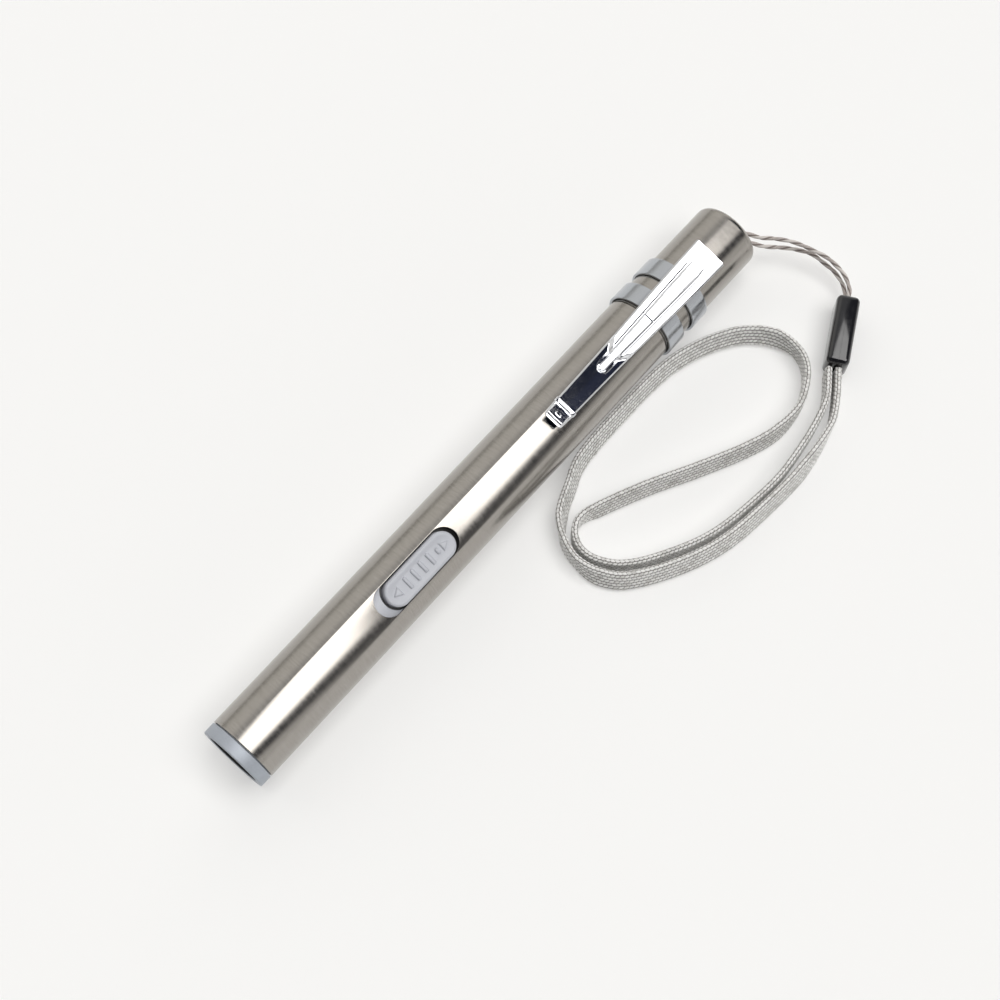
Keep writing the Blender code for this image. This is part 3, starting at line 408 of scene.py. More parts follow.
# %% [markdown]
# ## The strap and its two cords
#
# The lanyard is limp, so its route is a smooth curve through listed points, the same
# ones that the CAD solids follow. A bevelled curve would give a plain tube. A braid needs relief
# that follows the yarns, so each cord is swept in code: a cross-section is carried along the
# route ring by ring, and every point is pushed out where a yarn bulges.

# %% A smooth route through a few points
def smooth_route(points, step):
    """Evenly spaced (place, lean) pairs on a smooth curve through the given points, in metres."""
    knots = [Vector(p[:3]) for p in points]
    leans = [p[3] if len(p) > 3 else 0.0 for p in points]
    fine = []
    for i in range(len(knots) - 1):
        before = knots[i - 1] if i else 2 * knots[0] - knots[1]
        after = knots[i + 2] if i + 2 < len(knots) else 2 * knots[-1] - knots[-2]
        reach = (knots[i + 1] - knots[i]).length / 3
        leave = knots[i] + (knots[i + 1] - before).normalized() * reach
        arrive = knots[i + 1] - (after - knots[i]).normalized() * reach
        run = interpolate_bezier(knots[i], leave, arrive, knots[i + 1], 33)
        fine += [(place, leans[i] + (leans[i + 1] - leans[i]) * j / 32) for j, place in enumerate(run[:-1])]
    fine.append((knots[-1], leans[-1]))
    lengths = [0.0]
    for (a, _), (b, _) in zip(fine, fine[1:]):
        lengths.append(lengths[-1] + (b - a).length)
    count = round(lengths[-1] / step)
    even, k = [], 0
    for i in range(count + 1):
        goal = lengths[-1] * i / count
        while k < len(fine) - 2 and lengths[k + 1] < goal:
            k += 1
        share = (goal - lengths[k]) / (lengths[k + 1] - lengths[k])
        place = fine[k][0].lerp(fine[k + 1][0], share)
        even.append((place, fine[k][1] + (fine[k + 1][1] - fine[k][1]) * share))
    return even, lengths[-1]


def sweep(name, route, length, outline):
    """Carries outline(turn, along) round a route; it gives (sideways, upwards, yarn height, yarn tone)."""
    rings, yarns = [], []
    step = length / (len(route) - 1)
    for i, (place, lean) in enumerate(route):
        ahead = (route[min(i + 1, len(route) - 1)][0] - route[max(i - 1, 0)][0]).normalized()
        upright = (Vector((0.0, 0.0, 1.0)) - ahead * ahead.z).normalized()
        right = ahead.cross(upright)
        turn = math.radians(lean)
        tall = upright * math.cos(turn) + right * math.sin(turn)
        flat = ahead.cross(tall)
        for sideways, upwards, height, tone in outline(i * step):
            rings.append(place + flat * sideways + tall * upwards)
            yarns.append((height, tone, 0.0, 1.0))
    sides = len(rings) // len(route)
    faces = []
    for i in range(len(route) - 1):
        for j in range(sides):
            a, b = i * sides + j, i * sides + (j + 1) % sides
            faces.append((a, b, b + sides, a + sides))
    last = (len(route) - 1) * sides
    faces += [tuple(range(sides))[::-1], tuple(range(last, last + sides))]
    data = bpy.data.meshes.new(name)
    data.from_pydata(rings, [], faces)
    colours = data.color_attributes.new("yarn", "FLOAT_COLOR", "POINT")
    colours.data.foreach_set("color", [value for yarn in yarns for value in yarn])
    piece = bpy.data.objects.new(name, data)
    bpy.context.scene.collection.objects.link(piece)
    bpy.context.view_layer.objects.active = piece
    bpy.ops.object.select_all(action="DESELECT")
    piece.select_set(True)
    bpy.ops.object.mode_set(mode="EDIT")
    bpy.ops.mesh.select_all(action="SELECT")
    bpy.ops.mesh.normals_make_consistent(inside=False)
    bpy.ops.object.mode_set(mode="OBJECT")
    bpy.ops.object.shade_smooth()
    print(f"{name}: {length / MM:.1f} mm, {len(data.polygons)} faces")
    return piece


# %% [markdown]
# The strap is a flat tubular braid. Its yarns lie in columns along it, and the stitches in
# neighbouring columns slant opposite ways, which gives the herringbone look. Each stitch is a
# small pillow: `a` runs across its column and `b` along it, and the height falls to nothing in
# the gaps between them. The finish paints shade into those gaps, where the height falls.

# %% The braided strap
STRAP_WIDTH = 5.2 * MM
STRAP_THICKNESS = 1.4 * MM
STRAP_COLUMNS = 14
STITCH_LENGTH = 0.9 * MM
STITCH_RELIEF = 0.16 * MM
POINTS_PER_COLUMN = 4
UPRIGHT = 0.0
MIDDLE_LEAN = -12.0        # degrees, positive to the right of the way it runs
UPPER_LEAN = 18.0
OUTER_LEAN = -18.0
STRAP_FLOOR_GAP = 0.1 * MM


def strap_height(lean):
    """Height of the strap's middle where it stands on its edge with this lean."""
    reach = (STRAP_WIDTH - STRAP_THICKNESS) / 2 * math.cos(math.radians(lean))
    return reach + STRAP_THICKNESS / 2 + STRAP_FLOOR_GAP


STRAP_ROUTE = [(x * MM, y * MM, strap_height(lean), lean) for x, y, lean in [
    (61.5, -32.5, UPRIGHT), (55.0, -36.5, UPRIGHT), (40.0, -39.0, UPRIGHT), (30.0, -38.5, UPRIGHT),
    (19.5, -36.5, UPRIGHT), (10.0, -32.0, UPRIGHT), (4.5, -28.0, UPRIGHT), (2.0, -24.0, UPRIGHT),
    (1.5, -20.5, UPRIGHT), (3.0, -17.5, UPRIGHT), (6.0, -16.0, UPRIGHT), (10.5, -17.5, MIDDLE_LEAN),
    (19.5, -21.5, MIDDLE_LEAN), (29.0, -26.5, MIDDLE_LEAN), (38.5, -31.0, MIDDLE_LEAN),
    (45.0, -33.0, MIDDLE_LEAN), (51.5, -33.0, UPRIGHT), (56.5, -31.0, UPRIGHT), (59.5, -28.5, UPRIGHT),
    (61.0, -25.0, UPRIGHT), (60.5, -20.5, UPPER_LEAN), (58.0, -16.5, UPPER_LEAN), (54.5, -13.5, UPPER_LEAN),
    (48.5, -10.5, UPPER_LEAN), (41.0, -8.5, UPPER_LEAN), (28.0, -8.0, UPPER_LEAN), (15.5, -8.5, UPPER_LEAN),
    (10.0, -10.5, UPPER_LEAN), (4.5, -13.0, UPPER_LEAN), (1.0, -16.5, UPRIGHT), (-0.5, -21.0, UPRIGHT),
    (0.0, -26.0, OUTER_LEAN), (3.0, -30.5, OUTER_LEAN), (11.5, -36.0, OUTER_LEAN),
    (20.5, -39.5, OUTER_LEAN), (31.0, -41.0, OUTER_LEAN), (42.0, -41.5, OUTER_LEAN), (52.5, -40.0, UPRIGHT),
    (57.5, -37.5, UPRIGHT), (62.5, -34.0, UPRIGHT)]]


def flat_outline(share):
    """A point and outward direction on the strap's edge, for a share of the way round it."""
    radius = STRAP_THICKNESS / 2
    straight = STRAP_WIDTH - STRAP_THICKNESS
    bend = math.pi * radius
    along = share % 1.0 * 2 * (straight + bend)
    for side in (1, -1):
        if along < straight:
            return side * radius, side * (along - straight / 2), side, 0.0
        along -= straight
        if along < bend:
            turn = along / radius
            return (side * radius * math.cos(turn), side * (straight / 2 + radius * math.sin(turn)),
                    side * math.cos(turn), side * math.sin(turn))
        along -= bend
    return radius, -straight / 2, 1, 0.0


def braid(along):
    count = STRAP_COLUMNS * POINTS_PER_COLUMN
    for j in range(count):
        column, across = divmod(j / POINTS_PER_COLUMN, 1.0)
        slant = 0.36 if column % 2 else -0.36
        row, lengthways = divmod(along / STITCH_LENGTH + slant * (across - 0.5) + 0.5 * (column % 2), 1.0)
        a, b = abs(2 * across - 1), abs(2 * lengthways - 1)
        height = (1 - a ** 3) * (1 - b ** 2)
        tone = random.Random(int(row) * 31 + int(column) * 977).random()
        x, y, out_x, out_y = flat_outline(j / count)
        push = STITCH_RELIEF * (height - 1.0)
        yield x + out_x * push, y + out_y * push, height, tone


strap_path, strap_length = smooth_route(STRAP_ROUTE, STITCH_LENGTH / 5)
strap = sweep("wrist_strap_braid", strap_path, strap_length, braid)

# %% The two twisted cords
CORD_DIAMETER = 0.9 * MM
CORD_TWIST = 6.0 * MM
CORD_SIDES = 20
CORD_ROUTES = {
    "cord_over": [(70.3, 0.8, 8.0), (70.8, -0.3, 8.0), (71.5, -1.5, 8.0), (72.5, -3.5, 7.8),
                  (73.5, -5.5, 7.5), (74.8, -7.0, 7.3), (76.0, -8.5, 7.0), (77.1, -10.2, 6.8),
                  (78.0, -12.0, 6.5), (79.0, -15.0, 6.0), (79.7, -17.0, 5.5), (80.0, -19.0, 5.0),
                  (79.5, -22.5, 4.5), (78.0, -25.0, 4.0), (76.5, -26.0, 4.0)],
    "cord_under": [(70.3, -0.8, 7.2), (70.6, -1.9, 7.1), (71.0, -3.0, 7.0), (72.0, -4.8, 6.5),
                   (73.0, -6.5, 6.0), (74.2, -7.8, 5.5), (75.5, -9.0, 5.0), (77.5, -11.5, 4.5),
                   (79.0, -14.0, 4.0), (79.4, -15.5, 3.8), (79.5, -17.0, 3.5), (79.6, -18.8, 3.2),
                   (79.5, -20.5, 3.0), (78.5, -23.5, 2.5), (76.0, -26.0, 2.5)],
}


def twist(along):
    """Two yarns laid round each other."""
    phase = 2 * math.pi * along / CORD_TWIST
    for j in range(CORD_SIDES):
        turn = 2 * math.pi * j / CORD_SIDES
        lobe = 0.5 + 0.5 * math.cos(2 * (turn - phase))
        radius = CORD_DIAMETER / 2 * (0.74 + 0.26 * lobe ** 0.6)
        yield radius * math.cos(turn), radius * math.sin(turn), lobe, 0.5 + 0.5 * math.cos(turn - phase)


cords = {}
for name, points in CORD_ROUTES.items():
    path, length = smooth_route([tuple(v * MM for v in p) for p in points], 0.25 * MM)
    cords[name] = (sweep(name, path, length, twist), path, length)


# %% Yarn finishes
def yarn_finish(name, painted_gap_shade, yarn, pale, fibre_scale):
    """Painted shade in the gaps, lighter on the yarns, and a little different on each stitch."""
    made = finish(name, yarn, 0.8, sheen_weight=0.15)
    tree = made.node_tree
    shader = tree.nodes["Principled BSDF"]
    drawn = node(tree, "SeparateColor", {0: node(tree, "VertexColor", layer_name="yarn").outputs[0]})
    place = node(tree, "TexCoord").outputs["Object"]
    fibre = node(tree, "TexNoise", {"Vector": place, "Scale": fibre_scale, "Detail": 3.0}).outputs[0]
    tone = node(tree, "Math", {0: drawn.outputs[1], 1: fibre}, operation="ADD").outputs[0]
    threads = ramp(tree, tone, [(0.35, yarn), (1.0, pale)])
    # painted shade: the colour falls to the gap colour where the yarn height falls
    edge = smooth_step(tree, drawn.outputs[0], 0.0, 0.5)
    threads_with_gap_shade = node(tree, "MixRGB", {"Fac": edge, "Color1": (*painted_gap_shade, 1.0), "Color2": threads}).outputs[0]
    tree.links.new(threads_with_gap_shade, shader.inputs["Base Color"])
    bump = node(tree, "Bump", {"Strength": 0.4, "Distance": 0.00008, "Height": fibre})
    tree.links.new(bump.outputs[0], shader.inputs["Normal"])
    return made


# the first colour of each finish is painted shade for the gaps between yarns
strap_weave = yarn_finish("strap_weave", (0.10, 0.09, 0.08), (0.56, 0.55, 0.53), (0.86, 0.855, 0.84), 3500.0)
cord_fibre = yarn_finish("cord_fibre", (0.20, 0.165, 0.15), (0.38, 0.33, 0.31), (0.66, 0.62, 0.59), 5000.0)
frame["nodes"]["cord_knot"].data.materials.clear()
frame["nodes"]["cord_knot"].data.materials.append(cord_fibre)

# %% [markdown]
# ## The ferrule
#
# The strap's two ends and the two cords meet in a moulded black block. It starts as a cube with
# its edges rounded, its ends are inset and pushed in where the cords go through, and a groove
# runs round it where its two halves were welded.

# %% Helpers to model by hand
def choose(piece, kind, test):
    """In edit mode, selects the vertices, edges or faces that pass a test of their middle."""
    bpy.ops.mesh.select_mode(type=kind)
    bpy.ops.mesh.select_all(action="DESELECT")
    shape = bmesh.from_edit_mesh(piece.data)
    items = {"VERT": shape.verts, "EDGE": shape.edges, "FACE": shape.faces}[kind]
    for item in items:
        middle = item.co if kind == "VERT" else sum((v.co for v in item.verts), Vector()) / len(item.verts)
        item.select_set(bool(test(middle, item)))
    shape.select_flush_mode()
    bmesh.update_edit_mesh(piece.data)


def editing(piece):
    bpy.ops.object.select_all(action="DESELECT")
    bpy.context.view_layer.objects.active = piece
    piece.select_set(True)
    bpy.ops.object.mode_set(mode="EDIT")
    bpy.ops.mesh.select_all(action="SELECT")


def done_editing():
    bpy.ops.object.mode_set(mode="OBJECT")


def apply_step(piece, kind, **settings):
    """Adds a modifier, sets it and applies it."""
    bpy.ops.object.select_all(action="DESELECT")
    bpy.context.view_layer.objects.active = piece
    piece.select_set(True)
    step = piece.modifiers.new(kind.lower(), kind)
    for key, value in settings.items():
        setattr(step, key, value)
    bpy.ops.object.modifier_apply(modifier=step.name)


def cut(piece, tool, operation="DIFFERENCE", solver="EXACT"):
    apply_step(piece, "BOOLEAN", operation=operation, object=tool, solver=solver)
    bpy.data.objects.remove(tool)


def bar(name, size, centre, edge=0.0, rounds=3):
    """A block with rounded edges, from a cube at its size and place."""
    bpy.ops.object.select_all(action="DESELECT")
    bpy.ops.mesh.primitive_cube_add(size=1.0, location=centre, scale=size)
    piece = bpy.context.object
    piece.name = name
    bpy.ops.object.transform_apply(location=True, rotation=True, scale=True)
    if edge:
        editing(piece)
        bpy.ops.mesh.bevel(offset=edge, segments=rounds, affect="EDGES")
        done_editing()
    return piece


def settle(piece, coat, slot, body, nodes=(), turn=0.0, in_place=False, smooth=32.0):
    """Carries a piece from the pen axis to its place, gives it its finish and ties it to its body."""
    if not in_place:
        piece.location = (PEN_START, 0.0, AXIS_HEIGHT)
        piece.rotation_euler = (math.radians(turn), 0.0, 0.0)
    bpy.ops.object.select_all(action="DESELECT")
    bpy.context.view_layer.objects.active = piece
    piece.select_set(True)
    bpy.ops.object.transform_apply(location=True, rotation=True, scale=True)
    if smooth:
        bpy.ops.object.shade_smooth_by_angle(angle=math.radians(smooth))
    piece.data.materials.clear()
    piece.data.materials.append(coat)
    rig.ride(piece, body)
    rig.slot(piece, slot)
    if nodes:
        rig.replaces(piece, *nodes)
    print(f"{piece.name}: {len(piece.data.polygons)} faces on {body}")
    return piece


# %% The ferrule
FERRULE_TURN = 28.3
FERRULE_SIZE = (15.0 * MM, 4.6 * MM, 6.4 * MM)
ferrule_low, ferrule_high = (Vector(corner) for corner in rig.box("ferrule"))
ferrule_block = bar("ferrule_block", FERRULE_SIZE, (0.0, 0.0, 0.0), 1.1 * MM, 5)
editing(ferrule_block)
choose(ferrule_block, "FACE", lambda middle, face: abs(face.normal.x) > 0.99)
bpy.ops.mesh.inset(thickness=0.45 * MM, use_individual=True)
bpy.ops.mesh.inset(thickness=0.12 * MM, depth=-0.5 * MM, use_individual=True)
bpy.ops.mesh.select_all(action="SELECT")
for level in (-0.09, 0.09):
    bpy.ops.mesh.select_all(action="SELECT")
    bpy.ops.mesh.bisect(plane_co=(0.0, level * MM, 0.0), plane_no=(0.0, 1.0, 0.0))
choose(ferrule_block, "FACE", lambda middle, face: abs(middle.y) < 0.05 * MM and abs(face.normal.x) < 0.5)
bpy.ops.mesh.inset(thickness=0.02 * MM, depth=-0.07 * MM)
done_editing()
ferrule_block.location = (ferrule_low + ferrule_high) / 2
ferrule_block.rotation_euler = (0.0, 0.0, math.radians(FERRULE_TURN))
settle(ferrule_block, gloss_black, "ferrule_black", "cap", ["ferrule"], in_place=True)

# %% The lanyard rides on the cap
settle(strap, strap_weave, "strap_weave", "cap", ["wrist_strap"], in_place=True, smooth=0)
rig.cord(strap, exit=strap_path[0][0], length=strap_length, diameter=STRAP_WIDTH, far_end="object",
        stiffness="limp",
        lay="loose", path=[place for place, _ in strap_path])
for name, node_name in (("cord_over", "lanyard_cord_a"), ("cord_under", "lanyard_cord_b")):
    cord, path, length = cords[name]
    settle(cord, cord_fibre, "cord_fibre", "cap", [node_name], in_place=True, smooth=0)
    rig.cord(cord, exit=path[0][0], length=max(length, 30 * MM), diameter=CORD_DIAMETER, far_end="fitting",
            stiffness="limp", lay="loose", path=[place for place, _ in path], with_pieces=[ferrule_block])

# %% [markdown] ## Floor  A wide pale plane under everything.

# %% The floor
bpy.ops.object.select_all(action="DESELECT")
bpy.ops.mesh.primitive_plane_add(size=3.0, location=(0.0, 0.0, -0.0002))
floor = bpy.context.object
floor.name = "studio_floor"
floor_white = finish("floor_white", (0.66, 0.66, 0.655), 0.9, specular_ior_level=0.1)
floor_white.node_tree.nodes["Principled BSDF"].inputs["Emission Color"].default_value = (1.0, 0.995, 0.985,
                                                                                         1.0)
floor_white.node_tree.nodes["Principled BSDF"].inputs["Emission Strength"].default_value = 0.30
floor.data.materials.append(floor_white)
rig.stage(floor)
# %% [markdown]
# ## Round pieces
#
# Most of the pen is turned. The way a lathe hand would think of it: start with a circle and pull
# it along the pen ring by ring, making each new ring wider or narrower. A profile lists those
# rings as (x, radius). Corners are rounded in the profile, because a rounded edge catches the
# light as a thin bright line, and a dead sharp one never does.

# %% A lathe made of extrusions
ROUND_SIDES = 192


def soften(profile, radius, closed=True, steps=4):
    """Rounds each corner of a profile by up to the given radius."""
    made = []
    count = len(profile)
    for i, corner in enumerate(profile):
        corner = Vector(corner)
        if not closed and i in (0, count - 1):
            made.append(tuple(corner))
            continue
        before, after = Vector(profile[i - 1]), Vector(profile[(i + 1) % count])
        reach = min(radius, (before - corner).length * 0.45, (after - corner).length * 0.45)
        start = corner + (before - corner).normalized() * reach
        end = corner + (after - corner).normalized() * reach
        for k in range(steps + 1):
            t = k / steps
            made.append(tuple(start * (1 - t) ** 2 + corner * 2 * t * (1 - t) + end * t * t))
    return made


def lathe(name, profile, sides=ROUND_SIDES, closed=True):
    """Pulls a circle through the rings of a profile; a closed profile makes a ring with a wall."""
    x, radius = profile[0]
    bpy.ops.object.select_all(action="DESELECT")
    bpy.ops.mesh.primitive_circle_add(vertices=sides, radius=radius,
                                      fill_type="NOTHING" if closed else "NGON",
                                      location=(x, 0.0, 0.0), rotation=(0.0, math.pi / 2, 0.0))
    piece = bpy.context.object
    piece.name = name
    bpy.ops.object.transform_apply(location=True, rotation=True, scale=True)
    editing(piece)
    for next_x, next_radius in profile[1:] + (profile[:1] if closed else []):
        if closed:
            bpy.ops.mesh.extrude_edges_move(TRANSFORM_OT_translate={"value": (next_x - x, 0.0, 0.0)})
        else:
            bpy.ops.mesh.extrude_region_move(TRANSFORM_OT_translate={"value": (next_x - x, 0.0, 0.0)})
        grow = next_radius / radius
        bpy.ops.transform.resize(value=(1.0, grow, grow), center_override=(next_x, 0.0, 0.0))
        x, radius = next_x, next_radius
    bpy.ops.mesh.select_all(action="SELECT")
    bpy.ops.mesh.remove_doubles(threshold=0.0000005)
    bpy.ops.mesh.normals_make_consistent(inside=False)
    done_editing()
    return piece


def long_hole(name, centre_x, length, width, bottom, top, sides=96):
    """A prism with round ends, long along the pen: a circle pulled apart, then raised."""
    bpy.ops.object.select_all(action="DESELECT")
    bpy.ops.mesh.primitive_circle_add(vertices=sides, radius=width / 2, fill_type="NGON",
                                      location=(centre_x, 0.0, bottom))
    piece = bpy.context.object
    piece.name = name
    bpy.ops.object.transform_apply(location=True, rotation=True, scale=True)
    editing(piece)
    for side in (1, -1):
        choose(piece, "VERT", lambda middle, vert: side * (middle.x - centre_x) > 0.001 * MM)
        bpy.ops.transform.translate(value=(side * (length - width) / 2, 0.0, 0.0))
    bpy.ops.mesh.select_all(action="SELECT")
    bpy.ops.mesh.extrude_region_move(TRANSFORM_OT_translate={"value": (0.0, 0.0, top - bottom)})
    bpy.ops.mesh.select_all(action="SELECT")
    bpy.ops.mesh.normals_make_consistent(inside=False)
    done_editing()
    return piece


# %% [markdown]
# ## The tube and its slot
#
# The body is a thin tube with a long round-ended slot for the switch. The slot is cut with a
# prism of that outline, and its rim gets a narrow bevel, which shows as a bright line round it.

# %% The body tube
SLOT_START = 35.8 * MM
SLOT_LENGTH = 20.4 * MM
SLOT_WIDTH = 6.0 * MM
BORE_RADIUS = TUBE_RADIUS - TUBE_WALL
tube = lathe("steel_tube",
             soften([(TUBE_START, BORE_RADIUS), (TUBE_START, TUBE_RADIUS), (TUBE_END, TUBE_RADIUS),
                                   (TUBE_END, BORE_RADIUS)], 0.12 * MM), 256)
cut(tube,
    long_hole("slot", SLOT_START + SLOT_LENGTH / 2, SLOT_LENGTH, SLOT_WIDTH, TUBE_RADIUS / 2,
              2 * TUBE_RADIUS))
editing(tube)
bpy.ops.mesh.remove_doubles(threshold=0.000002)


def on_slot_rim(middle, edge):
    """The sharp outer edge round the slot."""
    if len(edge.link_faces) != 2 or edge.calc_face_angle(0.0) < 0.7:
        return False
    outside = math.hypot(middle.y, middle.z) > TUBE_RADIUS - 0.03 * MM
    return outside and SLOT_START - 0.1 * MM < middle.x < SLOT_START + SLOT_LENGTH + 0.1 * MM


choose(tube, "EDGE", on_slot_rim)
bpy.ops.mesh.bevel(offset=0.13 * MM, segments=2, affect="EDGES", clamp_overlap=True)
done_editing()
settle(tube, brushed, "brushed_tube", "pen_body", ["body_tube"], BUTTON_TURN, smooth=30.0)

# %% [markdown]
# ## The light end
#
# A blue-grey ring holds the lens against a mirrored cup, with the LED at the cup's foot. The
# ring's face is broad and nearly flat, and a thin black liner in its opening is painted shade that
# keeps the opening dark. The cup is a thin shell that curves like a bowl.

# %% Ring, lens, cup and LED
NECK_END = span("front_bezel")[1]
LENS_START, LENS_END = span("lens")
CUP_START, CUP_END = span("reflector")
LED_START, LED_END = span("led")
LENS_RADIUS = 6.05 * MM
OPENING_RADIUS = 5.5 * MM
light_ring = lathe("light_ring", soften([
    (0.0, OPENING_RADIUS + 0.25 * MM), (0.0, TUBE_RADIUS - 0.05 * MM), (RING_END, TUBE_RADIUS),
    (RING_END, TUBE_RADIUS - 0.65 * MM), (NECK_END, TUBE_RADIUS - 0.65 * MM),
    (NECK_END, LENS_RADIUS + 0.15 * MM), (LENS_START - 0.15 * MM, LENS_RADIUS + 0.15 * MM),
    (LENS_START - 0.15 * MM, OPENING_RADIUS)], 0.2 * MM))
settle(light_ring, ring_coat, "ring_coat", "pen_body", ["front_bezel"])
# painted shade: a thin black liner darkens the inside of the ring's opening
shade_liner = lathe("ring_liner",
              soften([(0.1 * MM, OPENING_RADIUS - 0.12 * MM), (0.1 * MM, OPENING_RADIUS - 0.01 * MM),
                                    (LENS_START - 0.02 * MM, OPENING_RADIUS - 0.01 * MM),
                                    (LENS_START - 0.02 * MM, OPENING_RADIUS - 0.12 * MM)], 0.03 * MM), 128)
settle(shade_liner, rubber, "seal_rubber", "pen_body")
lens = lathe("clear_lens", soften([(LENS_START, 0.4 * MM), (LENS_START, LENS_RADIUS), (LENS_END, LENS_RADIUS),
                                   (LENS_END, 0.4 * MM)], 0.15 * MM, closed=False), 96, closed=False)
settle(lens, glass, "lens_clear", "pen_body", ["lens"])
CUP_MOUTH, CUP_FOOT, CUP_WALL = LENS_RADIUS - 0.6 * MM, 1.8 * MM, 0.4 * MM
bowl = [(CUP_START + (CUP_END - CUP_START) * t * t, CUP_MOUTH + (CUP_FOOT - CUP_MOUTH) * t)
        for t in [i / 14 for i in range(15)]]
cup = lathe("mirror_cup", bowl + [(CUP_END, CUP_FOOT + CUP_WALL), (CUP_START + 4.0 * MM, CUP_MOUTH),
                                  (CUP_START + 0.6 * MM, LENS_RADIUS), (CUP_START, LENS_RADIUS)], 128)
settle(cup, mirror, "reflector_mirror", "pen_body", ["reflector"])
dome = [(LED_END - (LED_END - LED_START) * math.sin(a), (LED_END - LED_START) * 0.68 * math.cos(a))
        for a in [math.pi / 2 * i / 10 for i in range(10)]]
led_dome = lathe("led_dome", dome, 48, closed=False)
settle(led_dome, phosphor, "led_phosphor", "pen_body", ["led"])

# %% [markdown]
# ## The thumb switch
#
# The thumb piece is an island with rounded edges. It stands in the slot on a curved skirt that
# slides under the tube's wall. With the light off it sits at the back of the slot, so a crescent
# of the skirt shows in front of it behind a groove. A black shoe under the groove is painted
# shade that keeps it dark. The marks for the thumb are raised bars and two arrow heads.

# %% The skirt
SKIRT_LOW, SKIRT_HIGH = span("slide_button")
BUTTON_CENTRE = (SKIRT_LOW + SKIRT_HIGH) / 2
BUTTON_LENGTH = 17.0 * MM
BUTTON_WIDTH = 5.3 * MM
BUTTON_TOP = TUBE_RADIUS + 0.75 * MM
SKIRT_RADIUS = 6.35 * MM
SKIRT_HALF_WIDTH = 3.9 * MM
bpy.ops.object.select_all(action="DESELECT")
bpy.ops.mesh.primitive_grid_add(x_subdivisions=60, y_subdivisions=24, size=1.0)
skirt = bpy.context.object
skirt.name = "switch_skirt"
for vert in skirt.data.vertices:
    turn = 2 * vert.co.y * math.asin(SKIRT_HALF_WIDTH / SKIRT_RADIUS)
    vert.co = (BUTTON_CENTRE + vert.co.x * (SKIRT_HIGH - SKIRT_LOW), SKIRT_RADIUS * math.sin(turn),
               SKIRT_RADIUS * math.cos(turn))
apply_step(skirt, "SOLIDIFY", thickness=0.7 * MM, offset=-1.0)
groove_start = BUTTON_CENTRE - BUTTON_LENGTH / 2 - 0.5 * MM
groove_end = SLOT_START + SLOT_LENGTH + 1.5 * MM
cut(skirt,
    long_hole("groove", (groove_start + groove_end) / 2, groove_end - groove_start, SLOT_WIDTH + 0.5 * MM,
                     SKIRT_RADIUS - 2.6 * MM, SKIRT_RADIUS + 1.0 * MM))
settle(skirt, thumb_grey, "button_plastic", "slider", ["slide_button"], BUTTON_TURN)

# %% The thumb piece
BUTTON_FOOT = 4.9 * MM
thumb_piece = long_hole("thumb_piece", BUTTON_CENTRE, BUTTON_LENGTH, BUTTON_WIDTH, BUTTON_FOOT, BUTTON_TOP)
editing(thumb_piece)
choose(thumb_piece, "FACE", lambda middle, face: face.normal.z > 0.9)
bpy.ops.mesh.bevel(offset=0.42 * MM, segments=5, affect="EDGES")
choose(thumb_piece, "FACE", lambda middle, face: face.normal.z > 0.99 and middle.z > BUTTON_TOP - 0.01 * MM)
bpy.ops.mesh.inset(thickness=0.35 * MM)
bpy.ops.mesh.inset(thickness=0.2 * MM, depth=-0.06 * MM)
done_editing()
RIDGE_WIDTH, RIDGE_HEIGHT = 0.8 * MM, 0.42 * MM
ridge_places = [BUTTON_CENTRE + shift * MM for shift in (-3.45, -1.45, 0.55, 2.55, 4.5)]
for i, x in enumerate(ridge_places):
    length = 2.6 * MM if i < 4 else 1.3 * MM
    ridge = bar("ridge", (RIDGE_WIDTH, length, RIDGE_HEIGHT * 2), (x, 0.0, BUTTON_TOP - 0.06 * MM), 0.3 * MM,
                4)
    cut(thumb_piece, ridge, "UNION")
for end in (-1, 1):
    bpy.ops.object.select_all(action="DESELECT")
    bpy.ops.mesh.primitive_cone_add(vertices=3, radius1=1.6 * MM, radius2=0.9 * MM, depth=0.8 * MM,
                                    location=(BUTTON_CENTRE + end * 6.0 * MM, 0.0, BUTTON_TOP - 0.06 * MM),
                                    rotation=(0.0, 0.0, math.radians(-90.0 * end)))
    arrow = bpy.context.object
    bpy.ops.object.transform_apply(location=True, rotation=True, scale=True)
    editing(arrow)
    bpy.ops.mesh.bevel(offset=0.15 * MM, segments=3, affect="EDGES")
    done_editing()
    cut(thumb_piece, arrow, "UNION")
settle(thumb_piece, thumb_grey, "button_plastic", "slider", turn=BUTTON_TURN)

# %% The dark shoe under it, painted shade seen through the groove
shade_shoe = bar("switch_shoe", (SKIRT_HIGH - SKIRT_LOW - 0.6 * MM, 6.8 * MM, 0.5 * MM),
           (BUTTON_CENTRE, 0.0, BUTTON_FOOT - 0.25 * MM), 0.15 * MM, 2)
settle(shade_shoe, black_plastic, "black_plastic", "slider", turn=BUTTON_TURN)

# %% [markdown]
# ## The tail cap
#
# A deep cup in the same steel as the tube. Its closed end is rounded over, with a small hole for
# the cords.

# %% The cap
CORD_HOLE = 1.6 * MM
CAP_FLOOR = PEN_LENGTH - 1.2 * MM
edge = [(PEN_LENGTH - 1.2 * MM + 1.2 * MM * math.sin(a), TUBE_RADIUS - 1.2 * MM + 1.2 * MM * math.cos(a))
        for a in [math.pi / 2 * i / 10 for i in range(11)]]
cap = lathe("tail_cap",
            soften([(CAP_START, BORE_RADIUS), (CAP_START, TUBE_RADIUS)], 0.1 * MM, closed=False) + edge
            + [(PEN_LENGTH, CORD_HOLE + 0.3 * MM), (PEN_LENGTH - 0.3 * MM, CORD_HOLE), (CAP_FLOOR, CORD_HOLE),
               (CAP_FLOOR, BORE_RADIUS)], 256)
settle(cap, brushed, "brushed_tube", "cap", ["cap_shell"], CLIP_TURN, smooth=30.0)

